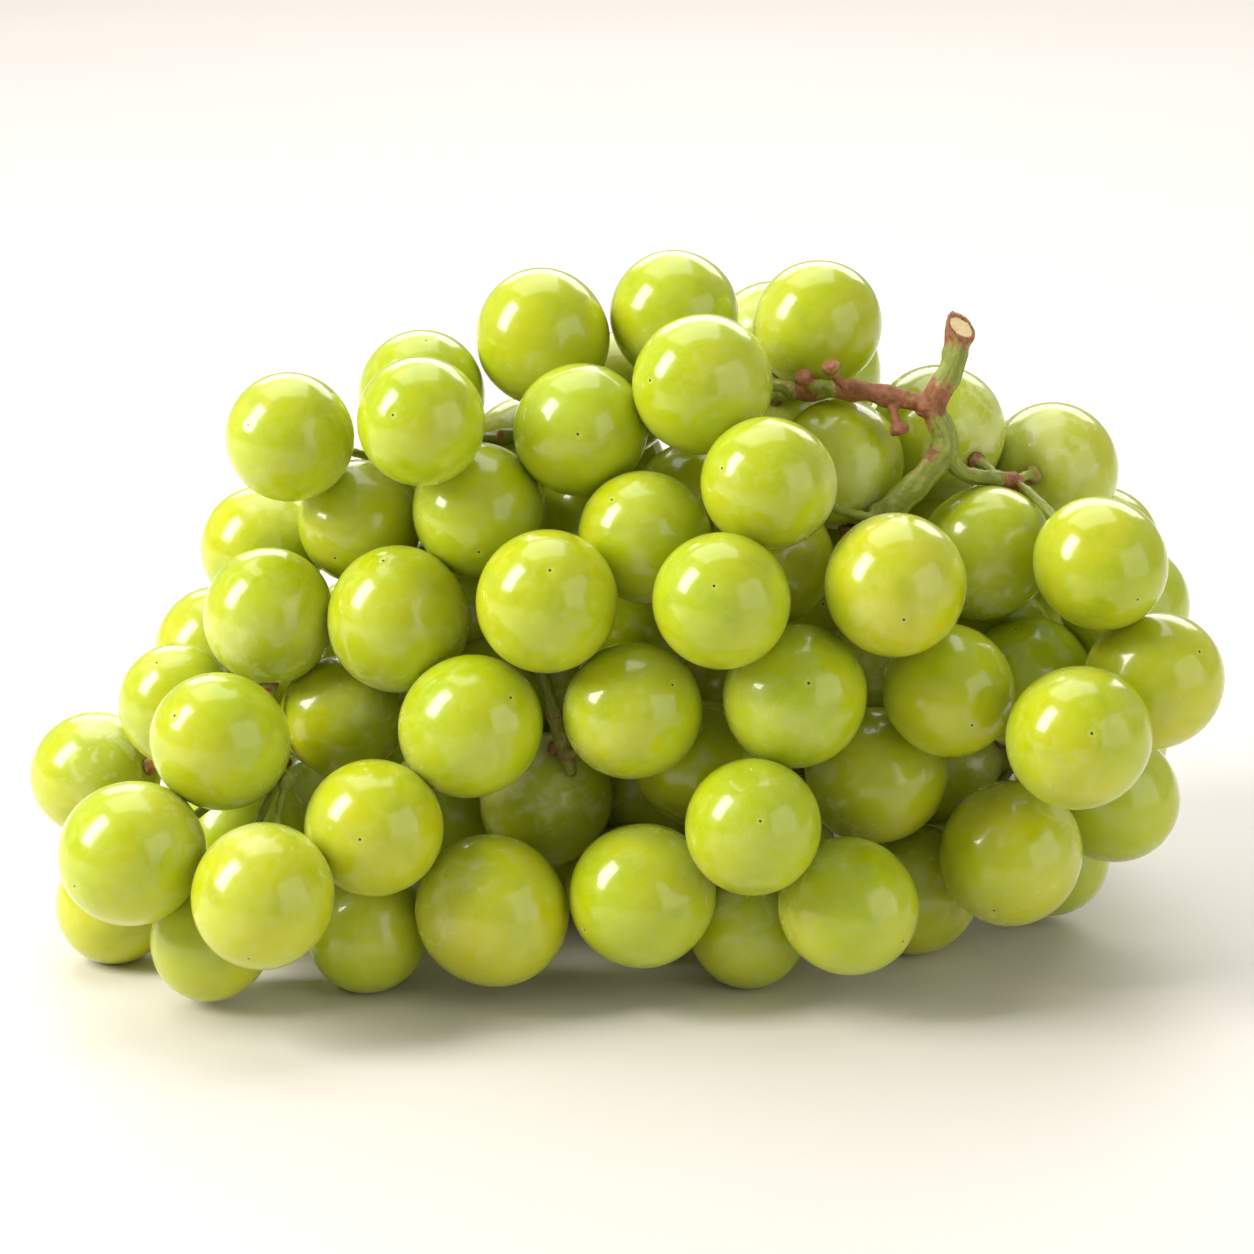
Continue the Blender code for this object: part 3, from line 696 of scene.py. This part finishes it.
@dataclass
class BerryMould:
    """One shape of berry, modelled at radius 1 with its stem end at -Z, then copied to its sites."""

    name: str
    fullness: float
    fullest: float
    squeeze: float
    segments: int = 32
    rings: int = 18
    stem_dimple: float = 0.075
    scar_width: float = 0.028
    scar_depth: float = 0.012
    length: float = 1.045
    waist: float = 0.06
    swell_reach: float = 0.8
    dimple_reach: float = 0.36
    pole_margin: float = 1e-4

    def model(self, build: Build) -> bpy.types.Object:
        """Model the shape.

        Args:
            build: How finely.

        Returns:
            The mould, which is copied and then removed.
        """
        settle_selection()
        bpy.ops.mesh.primitive_uv_sphere_add(segments=self.segments, ring_count=self.rings, radius=1.0)
        made = bpy.context.object
        made.name = f"{self.name}_{build.value}"
        self.swell(made)
        self.press_stem_end(made)
        self.pit_tip(made)
        if build is Build.FINE:
            smooth = made.modifiers.new("smooth", "SUBSURF")
            smooth.levels = 1
            smooth.render_levels = 1
            apply_all(made)
        take(made)
        bpy.ops.object.shade_smooth()
        return made

    def swell(self, made: bpy.types.Object) -> None:
        """Fill the berry out around its fullest height, squeeze one side and draw it longer.

        Args:
            made: The ball.
        """
        bpy.ops.object.mode_set(mode="EDIT")
        bpy.ops.mesh.select_all(action="SELECT")
        bpy.ops.transform.resize(value=(1.0 + self.squeeze, 1.0 - self.squeeze, self.length))
        pick_vertices(made, self.fullest - self.waist, self.fullest + self.waist)
        bpy.ops.transform.resize(
            value=(self.fullness, self.fullness, 1.0),
            center_override=(0.0, 0.0, self.fullest),
            use_proportional_edit=True,
            proportional_edit_falloff="SMOOTH",
            proportional_size=self.swell_reach,
        )
        bpy.ops.object.mode_set(mode="OBJECT")

    def press_stem_end(self, made: bpy.types.Object) -> None:
        """Press the shallow dimple that the pedicel sits in.

        Args:
            made: The ball.
        """
        pick_vertices(made, -self.length - 0.01, -self.length + 0.004)
        bpy.ops.transform.translate(
            value=(0.0, 0.0, self.stem_dimple),
            use_proportional_edit=True,
            proportional_edit_falloff="SMOOTH",
            proportional_size=self.dimple_reach,
        )
        bpy.ops.object.mode_set(mode="OBJECT")

    def pit_tip(self, made: bpy.types.Object) -> None:
        """Inset the tip twice and sink the scar that the flower left.

        Args:
            made: The ball.
        """
        bpy.ops.object.mode_set(mode="EDIT")
        bpy.ops.mesh.select_mode(type="FACE")
        bpy.ops.mesh.select_all(action="DESELECT")
        bpy.ops.object.mode_set(mode="OBJECT")
        highest = max(vertex.co.z for vertex in made.data.vertices)
        pole = [v.index for v in made.data.vertices if v.co.z > highest - self.pole_margin]
        for face in made.data.polygons:
            face.select = bool(set(face.vertices) & set(pole))
        fan = math.sin(math.pi / self.rings)
        bpy.ops.object.mode_set(mode="EDIT")
        bpy.ops.mesh.inset(thickness=fan * 0.5, use_relative_offset=False)
        bpy.ops.mesh.inset(thickness=fan * 0.5 - self.scar_width, use_relative_offset=False)
        bpy.ops.transform.translate(value=(0.0, 0.0, -self.scar_depth))
        bpy.ops.object.mode_set(mode="OBJECT")


@dataclass
class BerryBunch:
    """All the berries: moulds, places and the numbers that set each one apart."""

    sites: list[BerrySite]
    skin: bpy.types.Material
    grown: float = 1.012
    seed: int = 41
    moulds: tuple[BerryMould, ...] = (
        BerryMould("round_berry", fullness=1.0, fullest=0.0, squeeze=0.006),
        BerryMould("full_tipped_berry", fullness=1.022, fullest=0.35, squeeze=0.01),
        BerryMould("broad_shouldered_berry", fullness=1.02, fullest=-0.3, squeeze=0.014),
        BerryMould("long_berry", fullness=0.99, fullest=0.1, squeeze=0.004, length=1.065),
    )

    def build(self) -> list[bpy.types.Object]:
        """Model the moulds, copy one to every site and clear the moulds away.

        Returns:
            The berries.
        """
        made = {}
        for mould in self.moulds:
            for build in Build:
                made[mould.name, build] = mould.model(build)
        draws = np.random.default_rng(self.seed)
        berries = []
        for site in self.sites:
            mould = self.moulds[int(draws.integers(len(self.moulds)))]
            turn = float(draws.uniform(0, 2 * math.pi))
            numbers = draws.uniform(0, 1, 3)
            berries.append(self.place(site, made[mould.name, site.build], turn, numbers))
        for mould in made.values():
            bpy.data.objects.remove(mould, do_unlink=True)
        LOG.info("berries: %d", len(berries))
        return berries

    def place(
        self, site: BerrySite, mould: bpy.types.Object, turn: float, numbers: np.ndarray
    ) -> bpy.types.Object:
        """Copy a mould to one site, with its own coordinates stored on it.

        Args:
            site: The berry's site.
            mould: The shape to copy.
            turn: How far it is turned about its own axis.
            numbers: Its pattern, bloom and ripeness.

        Returns:
            The berry.
        """
        made = bpy.data.objects.new(f"grape_{site.name}", mould.data.copy())
        bpy.context.scene.collection.objects.link(made)
        own = coordinates(made.data)
        put_attribute(made.data, "skin_place", own)
        put_attribute(made.data, "berry_draw", np.tile(numbers, (len(own), 1)))
        facing = site.outward.to_track_quat("Z", "Y").to_matrix().to_4x4()
        size = Matrix.Scale(site.radius * self.grown, 4)
        made.data.transform(Matrix.Translation(site.centre) @ facing @ Matrix.Rotation(turn, 4, "Z") @ size)
        dress(made, self.skin, Slot.SKIN, site.node)
        LOG.info("piece %s", made.name)
        return made


# ---------------------------------------------------------------- stalk


@dataclass
class Twig:
    """One branch of the stalk: points in metres and a radius in millimetres at each."""

    points: list[Vector]
    radii: list[float]


class Branch(Enum):
    """The branches, each with its route and its radius at both ends, in millimetres."""

    PEDUNCLE = (((61, -14, 119), (59, -16, 111), (56, -17, 105), (58, -18, 97), (49, -21, 87)), 2.35, 2.6)
    AXIS = (
        ((49, -21, 87), (36, -12, 72), (12, 2, 64), (-18, 6, 58), (-44, 8, 50), (-70, -12, 36)),
        2.6,
        1.3,
    )
    WING = (
        (
            (56, -17, 105), (41, -13, 107), (31, -5, 105), (20, 5, 103),
            (-4, 2, 98), (-28, 4, 93), (-44, 8, 87),
        ),
        1.75,
        1.1,
    )
    SHOULDER = (((58, -18, 97), (62, -16, 92), (72, -10, 89)), 1.6, 1.3)
    FAR_SHOULDER = (((36, -12, 72), (48, 8, 63), (70, 22, 61)), 1.6, 1.1)
    RIGHT_FORK = (((36, -12, 72), (52, -14, 62), (66, -8, 46), (78, -14, 38)), 1.6, 1.1)
    NEAR_RIGHT = (((12, 2, 64), (22, -14, 58), (30, -24, 38), (21, -35, 28)), 1.6, 1.1)
    FAR_RIGHT = (((12, 2, 64), (20, 26, 56), (26, 36, 46)), 1.6, 1.1)
    NEAR_MIDDLE = (((-18, 6, 58), (-16, -20, 56), (-10, -30, 38)), 1.5, 1.1)
    FAR_LEFT = (((-18, 6, 58), (-24, 26, 52), (-40, 28, 34)), 1.5, 1.1)
    NEAR_LEFT = (((-44, 8, 50), (-38, -18, 46), (-44, -38, 30)), 1.5, 1.1)
    TIP = (((-70, -12, 36), (-84, -8, 34)), 1.3, 1.0)
    NEAR_TIP = (((-70, -12, 36), (-65, -30, 39), (-61, -46, 42)), 1.6, 1.3)

    @property
    def route(self) -> tuple[Point, ...]:
        """The points of its middle line."""
        return self.value[0]

    @property
    def upper(self) -> bool:
        """Whether it belongs to the open top of the stalk, which is modelled more finely."""
        return self.name in ("PEDUNCLE", "WING", "SHOULDER")


class BarePedicel(Enum):
    """Pedicels whose berry has dropped, with their routes in millimetres."""

    LONG = ((41, -13, 107), (38, -16, 110), (37, -17, 113))
    SHORT = ((34, -8, 106), (33, -12, 108), (32, -14, 110))
    STUB = ((48, -15, 106), (49, -18, 103), (50, -19, 100))


@dataclass
class Stalk:
    """Peduncle, axis, laterals and one pedicel for each berry."""

    sites: list[BerrySite]
    bark: bpy.types.Material
    step: float = 0.9 * MM
    hub_spacing: float = 4.0 * MM
    overlap_steps: int = 5
    shortest_pedicel: float = 3.0 * MM
    berry_clearance: float = 0.8 * MM
    most_obstruction: float = 3 * MM
    obstruction_cost: float = 6.0
    off_line_cost: float = 0.25
    too_near_cost: float = 1.0
    seat_overlap: float = 0.6 * MM
    pedicel_bow: float = 0.05
    longest_base: float = 0.3
    longest_disc: float = 0.65
    upper_voxel: float = 0.3 * MM
    lower_voxel: float = 0.42 * MM
    pedicel_base: tuple[tuple[float, float], ...] = ((0.0, 1.35), (0.8, 1.15), (2.2, 0.85))
    pedicel_disc: tuple[tuple[float, float], ...] = (
        (0.0, 1.2), (0.2, 1.6), (0.6, 1.85), (1.2, 1.85), (1.7, 1.55), (2.2, 1.1), (3.0, 0.9),
    )
    node_swelling: float = 0.38
    node_reach: float = 2.0 * MM
    unevenness: float = 0.07
    end_radii: tuple[float, ...] = (2.95, 2.95, 2.8, 2.5)
    end_steps: int = 3
    cap_margin: float = 0.02 * MM
    knot_clusters: tuple[tuple[Point, float, int], ...] = (
        ((55, -17, 105), 1.6, 9), ((41, -13, 107), 1.3, 6), ((33, -7, 105.5), 1.1, 5),
    )
    plain_bark: float = 0.12
    woody_fade: float = 1.6
    cut_normal: Point = (0.46, -0.42, 0.78)
    cut_reach: float = 2.5 * MM
    cut_fade: float = 0.4 * MM
    cut_depth: float = 0.12 * MM
    seed: int = 7

    def __post_init__(self) -> None:
        """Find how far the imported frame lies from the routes, and start the draws."""
        self.draws = np.random.default_rng(self.seed)
        solid = np.unique(coordinates(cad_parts["rachis"].data).round(6), axis=0)
        start, following = (Vector(p) * MM for p in Branch.PEDUNCLE.route[:2])
        heights = solid @ np.array((start - following).normalized())
        cap = solid[heights > heights.max() - self.cap_margin]
        self.shift = Vector(cap.mean(axis=0)) - start
        LOG.info("stalk shift %s", tuple(round(v / MM, 2) for v in self.shift))

    def placed(self, point: Point) -> Vector:
        """A route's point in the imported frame, in metres."""
        return Vector(point) * MM + self.shift

    def smooth_line(self, points: list[Vector]) -> list[Vector]:
        """A smooth line through the points, sampled at the stalk's step.

        Args:
            points: The points that it passes.

        Returns:
            The samples.
        """
        padded = [points[0] * 2 - points[1], *points, points[-1] * 2 - points[-2]]
        line = []
        for before, start, end, after in zip(padded, padded[1:], padded[2:], padded[3:]):
            count = max(int((end - start).length / self.step), 2)
            for number in range(count):
                t = number / count
                bend = (2 * before - 5 * start + 4 * end - after) * t**2
                bend += (3 * start - before - 3 * end + after) * t**3
                line.append(start + (end - before) * t / 2 + bend / 2)
        line.append(points[-1])
        return line

    def branch_line(self, branch: Branch) -> list[Vector]:
        """A branch's middle line; the peduncle and the axis follow one line and overlap at their joint.

        Args:
            branch: Which one.

        Returns:
            The samples of the line.
        """
        points = [self.placed(p) for p in branch.route]
        if branch is Branch.PEDUNCLE:
            line = self.smooth_line([*points, self.placed(Branch.AXIS.route[1])])
            joint = min(range(len(line)), key=lambda k: (line[k] - points[-1]).length)
            return line[: joint + self.overlap_steps]
        if branch is Branch.AXIS:
            line = self.smooth_line([self.placed(Branch.PEDUNCLE.route[-2]), *points])
            joint = min(range(len(line)), key=lambda k: (line[k] - points[0]).length)
            return line[joint:]
        return self.smooth_line(points)

    def branch_twig(self, branch: Branch, hubs: list[Vector]) -> Twig:
        """A branch that swells where its pedicels leave it.

        Args:
            branch: Which one.
            hubs: Where pedicels leave the stalk.

        Returns:
            The twig.
        """
        line = self.branch_line(branch)
        _, thick, thin = branch.value
        radii = []
        for number, point in enumerate(line):
            nearest = min((point - hub).length for hub in hubs)
            swelling = 1 + self.node_swelling * math.exp(-((nearest / self.node_reach) ** 2))
            uneven = 1 + self.unevenness * math.sin(number * 0.9 + len(line)) * math.cos(number * 0.37)
            radii.append((thick + (thin - thick) * number / (len(line) - 1)) * swelling * uneven)
        if branch is Branch.PEDUNCLE:
            radii[: len(self.end_radii)] = self.end_radii
            line.insert(0, line[0] * (self.end_steps + 1) - line[1] * self.end_steps)
            radii.insert(0, self.end_radii[0])
        return Twig(line, radii)

    def pedicel_twig(self, points: list[Vector]) -> Twig:
        """A pedicel that starts thick, thins out and ends in the disc under its berry.

        Args:
            points: Its route.

        Returns:
            The twig.
        """
        line = self.smooth_line(points)
        steps = [0.0, *np.cumsum([(b - a).length for a, b in zip(line, line[1:])])]
        total = steps[-1]
        base = [(min(along * MM, total * self.longest_base), radius) for along, radius in self.pedicel_base]
        disc = [
            (total - back * MM, radius)
            for back, radius in reversed(self.pedicel_disc)
            if back * MM < total * self.longest_disc
        ]
        profile = [*base, *disc]
        between = np.arange(base[-1][0], disc[0][0], self.step)[1:]
        wanted = sorted({*(along for along, _ in profile), *between})
        marks = np.array(line)
        placed = [Vector([np.interp(w, steps, marks[:, axis]) for axis in range(3)]) for w in wanted]
        radii = np.interp(wanted, [along for along, _ in profile], [radius for _, radius in profile])
        return Twig(placed, [float(r) for r in radii])

    def hubs(self) -> list[Vector]:
        """Evenly spread places where a pedicel may start, on every branch but the peduncle."""
        places = []
        for branch in Branch:
            if branch is Branch.PEDUNCLE:
                continue
            line = self.smooth_line([self.placed(p) for p in branch.route])
            stride = max(int(self.hub_spacing / self.step), 1)
            places += line[stride::stride]
        return places

    def berry_pedicels(self) -> list[Twig]:
        """One pedicel for each berry that the stalk can reach past the other berries."""
        hubs = np.array(self.hubs())
        centres = np.array([site.centre for site in self.sites])
        radii = np.array([site.radius for site in self.sites])
        twigs = []
        for number, site in enumerate(self.sites):
            way = centres[number] - hubs
            length = np.linalg.norm(way, axis=1)
            off_line = 1 - (way / length[:, None]) @ np.array(site.outward)
            obstruction = np.zeros(len(hubs))
            ends = hubs + way * (1 - radii[number] / length)[:, None]
            for other in range(len(self.sites)):
                if other == number:
                    continue
                spans = ends - hubs
                reached = np.sum((centres[other] - hubs) * spans, axis=1)
                along = np.clip(reached / np.sum(spans**2, axis=1), 0, 1)
                gap = np.linalg.norm(centres[other] - hubs - along[:, None] * spans, axis=1)
                obstruction += np.maximum(radii[other] + self.berry_clearance - gap, 0)
            too_near = length < radii[number] * STEM_END_REACH + self.shortest_pedicel
            cost = length + self.obstruction_cost * obstruction
            cost = cost + self.off_line_cost * off_line + self.too_near_cost * too_near
            best = int(np.argmin(cost))
            if obstruction[best] > self.most_obstruction:
                LOG.info("no open way to berry %s", site.name)
                continue
            hub = Vector(hubs[best])
            end = site.stem_end + site.outward * self.seat_overlap
            span = end - hub
            side = span.cross(Vector(self.draws.normal(size=3))).normalized() * span.length
            side *= self.pedicel_bow
            middle = hub.lerp(end, 0.5) + side
            twigs.append(self.pedicel_twig([hub, middle, end]))
        return twigs

    def build(self) -> list[bpy.types.Object]:
        """Model the stalk as a finer open top and a coarser part inside the bunch.

        Returns:
            The two pieces.
        """
        pedicels = self.berry_pedicels()
        bare = [self.pedicel_twig([self.placed(p) for p in b.value]) for b in BarePedicel]
        starts = [twig.points[0] for twig in pedicels + bare]
        branches = {branch: self.branch_twig(branch, starts) for branch in Branch}
        upper = [twig for branch, twig in branches.items() if branch.upper]
        lower = [twig for branch, twig in branches.items() if not branch.upper]
        open_top = [point for twig in upper for point in twig.points]
        for twig in pedicels:
            nearest = min((point - twig.points[0]).length for point in open_top)
            (upper if nearest < self.step else lower).append(twig)
        upper += bare
        knots = self.knots()
        pieces = [
            self.grow("peduncle_and_wing", upper, knots, self.upper_voxel),
            self.grow("main_axis_and_laterals", lower, [], self.lower_voxel),
        ]
        for piece, twigs in zip(pieces, (upper, lower)):
            if twigs is upper:
                self.trim_cut_end(piece)
            self.paint(piece, twigs, pedicels + bare)
            dress(piece, self.bark, Slot.STEM, "rachis")
            LOG.info("piece %s: %d faces", piece.name, len(piece.data.polygons))
        return pieces

    def knots(self) -> list[tuple[Vector, float]]:
        """Lumps of wood round the joints of the open top: centre and radius."""
        lumps = []
        for middle, reach, count in self.knot_clusters:
            for _ in range(count):
                away = Vector(self.draws.normal(size=3)).normalized() * reach * MM
                lumps.append((self.placed(middle) + away, float(self.draws.uniform(0.7, 1.3)) * MM))
        return lumps

    def grow(
        self, name: str, twigs: list[Twig], knots: list[tuple[Vector, float]], voxel: float
    ) -> bpy.types.Object:
        """Fuse twigs and knots into one skin of bark.

        Args:
            name: The piece's name.
            twigs: Its branches and pedicels.
            knots: Lumps to add.
            voxel: How finely the skin is remeshed.

        Returns:
            The piece.
        """
        settle_selection()
        bpy.ops.curve.primitive_nurbs_path_add()
        made = bpy.context.object
        made.name = name
        curve = made.data
        curve.splines.clear()
        curve.dimensions = "3D"
        curve.bevel_depth = MM
        curve.bevel_resolution = 4
        curve.use_fill_caps = True
        curve.use_path = False
        for twig in twigs:
            spline = curve.splines.new("POLY")
            spline.points.add(len(twig.points) - 1)
            for target, point, radius in zip(spline.points, twig.points, twig.radii):
                target.co = (*point, 1.0)
                target.radius = radius
        take(made)
        bpy.ops.object.convert(target="MESH")
        for centre, radius in knots:
            bpy.ops.mesh.primitive_ico_sphere_add(subdivisions=2, radius=radius, location=centre)
            made.select_set(True)
            bpy.context.view_layer.objects.active = made
            bpy.ops.object.join()
        fuse = made.modifiers.new("fuse", "REMESH")
        fuse.mode = "VOXEL"
        fuse.voxel_size = voxel
        fuse.use_smooth_shade = True
        soften = made.modifiers.new("soften", "SMOOTH")
        soften.factor = 0.5
        soften.iterations = 4
        for label, size, strength in (("lumps", 2.4 * MM, 0.5 * MM), ("warts", 0.9 * MM, 0.22 * MM)):
            pattern = bpy.data.textures.new(f"{name}_{label}", "CLOUDS")
            pattern.noise_scale = size
            uneven = made.modifiers.new(label, "DISPLACE")
            uneven.texture = pattern
            uneven.texture_coords = "LOCAL"
            uneven.strength = strength
            uneven.mid_level = 0.5
        apply_all(made)
        return made

    def trim_cut_end(self, made: bpy.types.Object) -> None:
        """Slice the peduncle's end at a slant and leave a rim round the cut wood.

        Args:
            made: The open top of the stalk.
        """
        take(made)
        bpy.ops.object.mode_set(mode="EDIT")
        bpy.ops.mesh.select_mode(type="VERT")
        bpy.ops.mesh.select_all(action="SELECT")
        cut_at = self.placed(Branch.PEDUNCLE.route[0])
        bpy.ops.mesh.bisect(plane_co=cut_at, plane_no=self.cut_normal, use_fill=True, clear_outer=True)
        bpy.ops.mesh.poke()
        bpy.ops.mesh.subdivide(number_cuts=5)
        bpy.ops.mesh.select_all(action="DESELECT")
        bpy.ops.object.mode_set(mode="OBJECT")
        height, spread = self.from_cut(coordinates(made.data))
        on_face = (np.abs(height) < self.cut_depth / 2) & (spread < self.cut_reach)
        made.data.vertices.foreach_set("select", on_face)
        bpy.ops.object.mode_set(mode="EDIT")
        inward = Vector(self.cut_normal).normalized() * -self.cut_depth
        bpy.ops.transform.translate(value=inward)
        bpy.ops.object.mode_set(mode="OBJECT")

    def from_cut(self, points: np.ndarray) -> tuple[np.ndarray, np.ndarray]:
        """How far points lie above the cut's plane, and from its middle within that plane.

        Args:
            points: The points, shape (n, 3).

        Returns:
            Both distances.
        """
        flat = np.array(Vector(self.cut_normal).normalized())
        off = points - np.array(self.placed(Branch.PEDUNCLE.route[0]))
        height = off @ flat
        return height, np.linalg.norm(off - height[:, None] * flat, axis=1)

    def paint(self, made: bpy.types.Object, twigs: list[Twig], pedicels: list[Twig]) -> None:
        """Store where the bark is woody, where it is cut, and which way its grain runs.

        Args:
            made: The piece.
            twigs: Its branches and pedicels.
            pedicels: Every pedicel of the stalk.
        """
        own = coordinates(made.data)
        marks = np.array([point for twig in twigs for point in twig.points])
        ahead = np.array([
            twig.points[min(k + 1, len(twig.points) - 1)] - twig.points[max(k - 1, 0)]
            for twig in twigs
            for k in range(len(twig.points))
        ])
        along = np.concatenate([np.arange(len(twig.points)) for twig in twigs]) * self.step
        tree = KDTree(len(marks))
        for number, mark in enumerate(marks):
            tree.insert(mark, number)
        tree.balance()
        nearest = np.array([tree.find(point)[1] for point in own])
        off = own - marks[nearest]
        forward = ahead[nearest] / np.linalg.norm(ahead[nearest], axis=1, keepdims=True)
        further = np.sum(off * forward, axis=1)
        off -= further[:, None] * forward
        across = (off[:, 0] + 0.5 * off[:, 2], off[:, 1] - 0.5 * off[:, 2])
        grain = np.stack([*across, along[nearest] + further], axis=1)
        put_attribute(made.data, "grain", grain / MM)

        woody = np.full(len(own), self.plain_bark)
        for start, end, reach, strength in self.woody_stretches(pedicels):
            span = np.array(end - start)
            part = np.clip((own - np.array(start)) @ span / max(span @ span, 1e-12), 0, 1)
            gap = np.linalg.norm(own - np.array(start) - part[:, None] * span, axis=1)
            woody = np.maximum(woody, strength * np.clip(self.woody_fade - gap / reach, 0, 1))
        put_attribute(made.data, "woody", woody)

        height, spread = self.from_cut(own)
        near_plane = np.abs(height) < self.cut_depth * 2
        face = np.clip((self.cut_reach - spread) / self.cut_fade, 0, 1) * near_plane
        put_attribute(made.data, "cut", face)

    def woody_stretches(self, pedicels: list[Twig]) -> list[tuple[Vector, Vector, float, float]]:
        """Where the bark is brown: two ends, reach and strength of each stretch."""
        drawn = (
            ((61, -14, 119.5), (60.6, -14.4, 117.8), 3.0, 1.0),
            ((56, -17, 106.5), (54, -16.6, 104), 3.3, 1.0),
            ((49, -15, 106.2), (41, -13, 107), 2.9, 1.0),
            ((41, -13, 107), (38.6, -15.4, 109.4), 1.9, 1.0),
            ((34, -8, 106), (33.4, -7.4, 105.4), 2.4, 1.0),
            ((48, -15, 106), (50, -19, 100), 2.3, 1.0),
            ((57, -19, 97), (54, -20, 93.5), 1.6, 0.6),
            ((72, -10, 89), (70, -11, 89.5), 2.4, 0.9),
        )
        stretches = []
        for start, end, reach, strength in drawn:
            stretches.append((self.placed(start), self.placed(end), reach * MM, strength))
        for twig in pedicels:
            stretches.append((twig.points[-1], twig.points[-3], 1.9 * MM, 0.85))
            stretches.append((twig.points[0], twig.points[1], 1.7 * MM, 0.6))
        return stretches


# ---------------------------------------------------------------- studio


@dataclass
class SoftBox:
    """A rectangular light: where it stands from the bunch, its size and its power."""

    name: str
    towards: Point
    distance: float
    width: float
    height: float
    power: float
    colour: Colour = (1.0, 1.0, 1.0)

    def build(self, target: Vector) -> None:
        """Add the light, facing the target.

        Args:
            target: What it lights.
        """
        settle_selection()
        away = Vector(self.towards).normalized()
        bpy.ops.object.light_add(type="AREA", location=target + away * self.distance)
        made = bpy.context.object
        made.name = self.name
        made.rotation_euler = away.to_track_quat("Z", "Y").to_euler()
        made.data.shape = "RECTANGLE"
        made.data.size = self.width
        made.data.size_y = self.height
        made.data.energy = self.power
        made.data.color = self.colour


@dataclass
class Studio:
    """Pale floor, soft lights and the camera."""

    target_height: float = 58 * MM
    elevation: float = math.radians(16)
    distance: float = 760 * MM
    lens: float = 114.8
    floor_size: float = 9.0
    floor_colour: tuple = srgb(226, 220, 212)
    lights: tuple[SoftBox, ...] = (
        SoftBox("window", (-0.80, -0.22, 0.56), 0.95, 0.34, 0.62, 11.0, (1.0, 0.98, 0.94)),
        SoftBox("sky_panel", (-0.1, 0.35, 1.0), 1.2, 1.1, 0.9, 8.0, (0.97, 0.98, 1.0)),
        SoftBox("side_panel", (0.80, -0.55, 0.14), 1.1, 1.0, 1.3, 6.5, (1.0, 0.99, 0.94)),
        SoftBox("back_panel", (0.1, 1.0, 0.62), 1.9, 2.2, 0.8, 22.0, (1.0, 0.99, 0.97)),
    )
    world_strength: float = 0.35

    def build(self, shift: Vector) -> None:
        """Set the floor, the lights, the world and the camera.

        Args:
            shift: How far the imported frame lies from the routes.
        """
        target = Vector((shift.x, shift.y, self.target_height))
        self.lay_floor()
        for light in self.lights:
            light.build(target)
        world = bpy.data.worlds.new("soft_room")
        world.use_nodes = True
        world.node_tree.nodes["Background"].inputs["Color"].default_value = (0.93, 0.94, 0.97, 1.0)
        world.node_tree.nodes["Background"].inputs["Strength"].default_value = self.world_strength
        bpy.context.scene.world = world
        back = Vector((0.0, -math.cos(self.elevation), math.sin(self.elevation)))
        settle_selection()
        bpy.ops.object.camera_add(location=target + back * self.distance)
        camera = bpy.context.object
        camera.rotation_euler = back.to_track_quat("Z", "Y").to_euler()
        camera.data.lens = self.lens
        camera.data.clip_start = 0.01
        bpy.context.scene.camera = camera
        bpy.context.scene.view_settings.view_transform = "Standard"

    def lay_floor(self) -> None:
        """Lay the pale floor that the bunch rests on."""
        settle_selection()
        bpy.ops.mesh.primitive_plane_add(size=self.floor_size)
        floor = bpy.context.object
        floor.name = "floor"
        material, sketch, shader = open_material("pale_floor")
        place = sketch.add("TexCoord", {}).outputs["Object"]
        cloud = sketch.add("TexNoise", {"Vector": place, "Scale": 3.0, "Detail": 2.0}).outputs["Fac"]
        darker = tuple(0.94 * part for part in self.floor_colour[:3]) + (1.0,)
        sketch.put(shader.inputs["Base Color"], sketch.blend(cloud, darker, self.floor_colour))
        shader.inputs["Roughness"].default_value = 0.6
        floor.data.materials.append(material)


def main() -> None:
    """Build the bunch piece by piece and set it in the studio."""
    logging.basicConfig(level=logging.INFO, format="%(name)s: %(message)s")
    sites = FrameReader().read()
    effects = SharedEffects()
    BerryBunch(sites, BerrySkin().make(effects)).build()
    stalk = Stalk(sites, StalkBark().make(effects))
    stalk.build()
    Studio().build(stalk.shift)


if __name__ == "__main__":
    main()
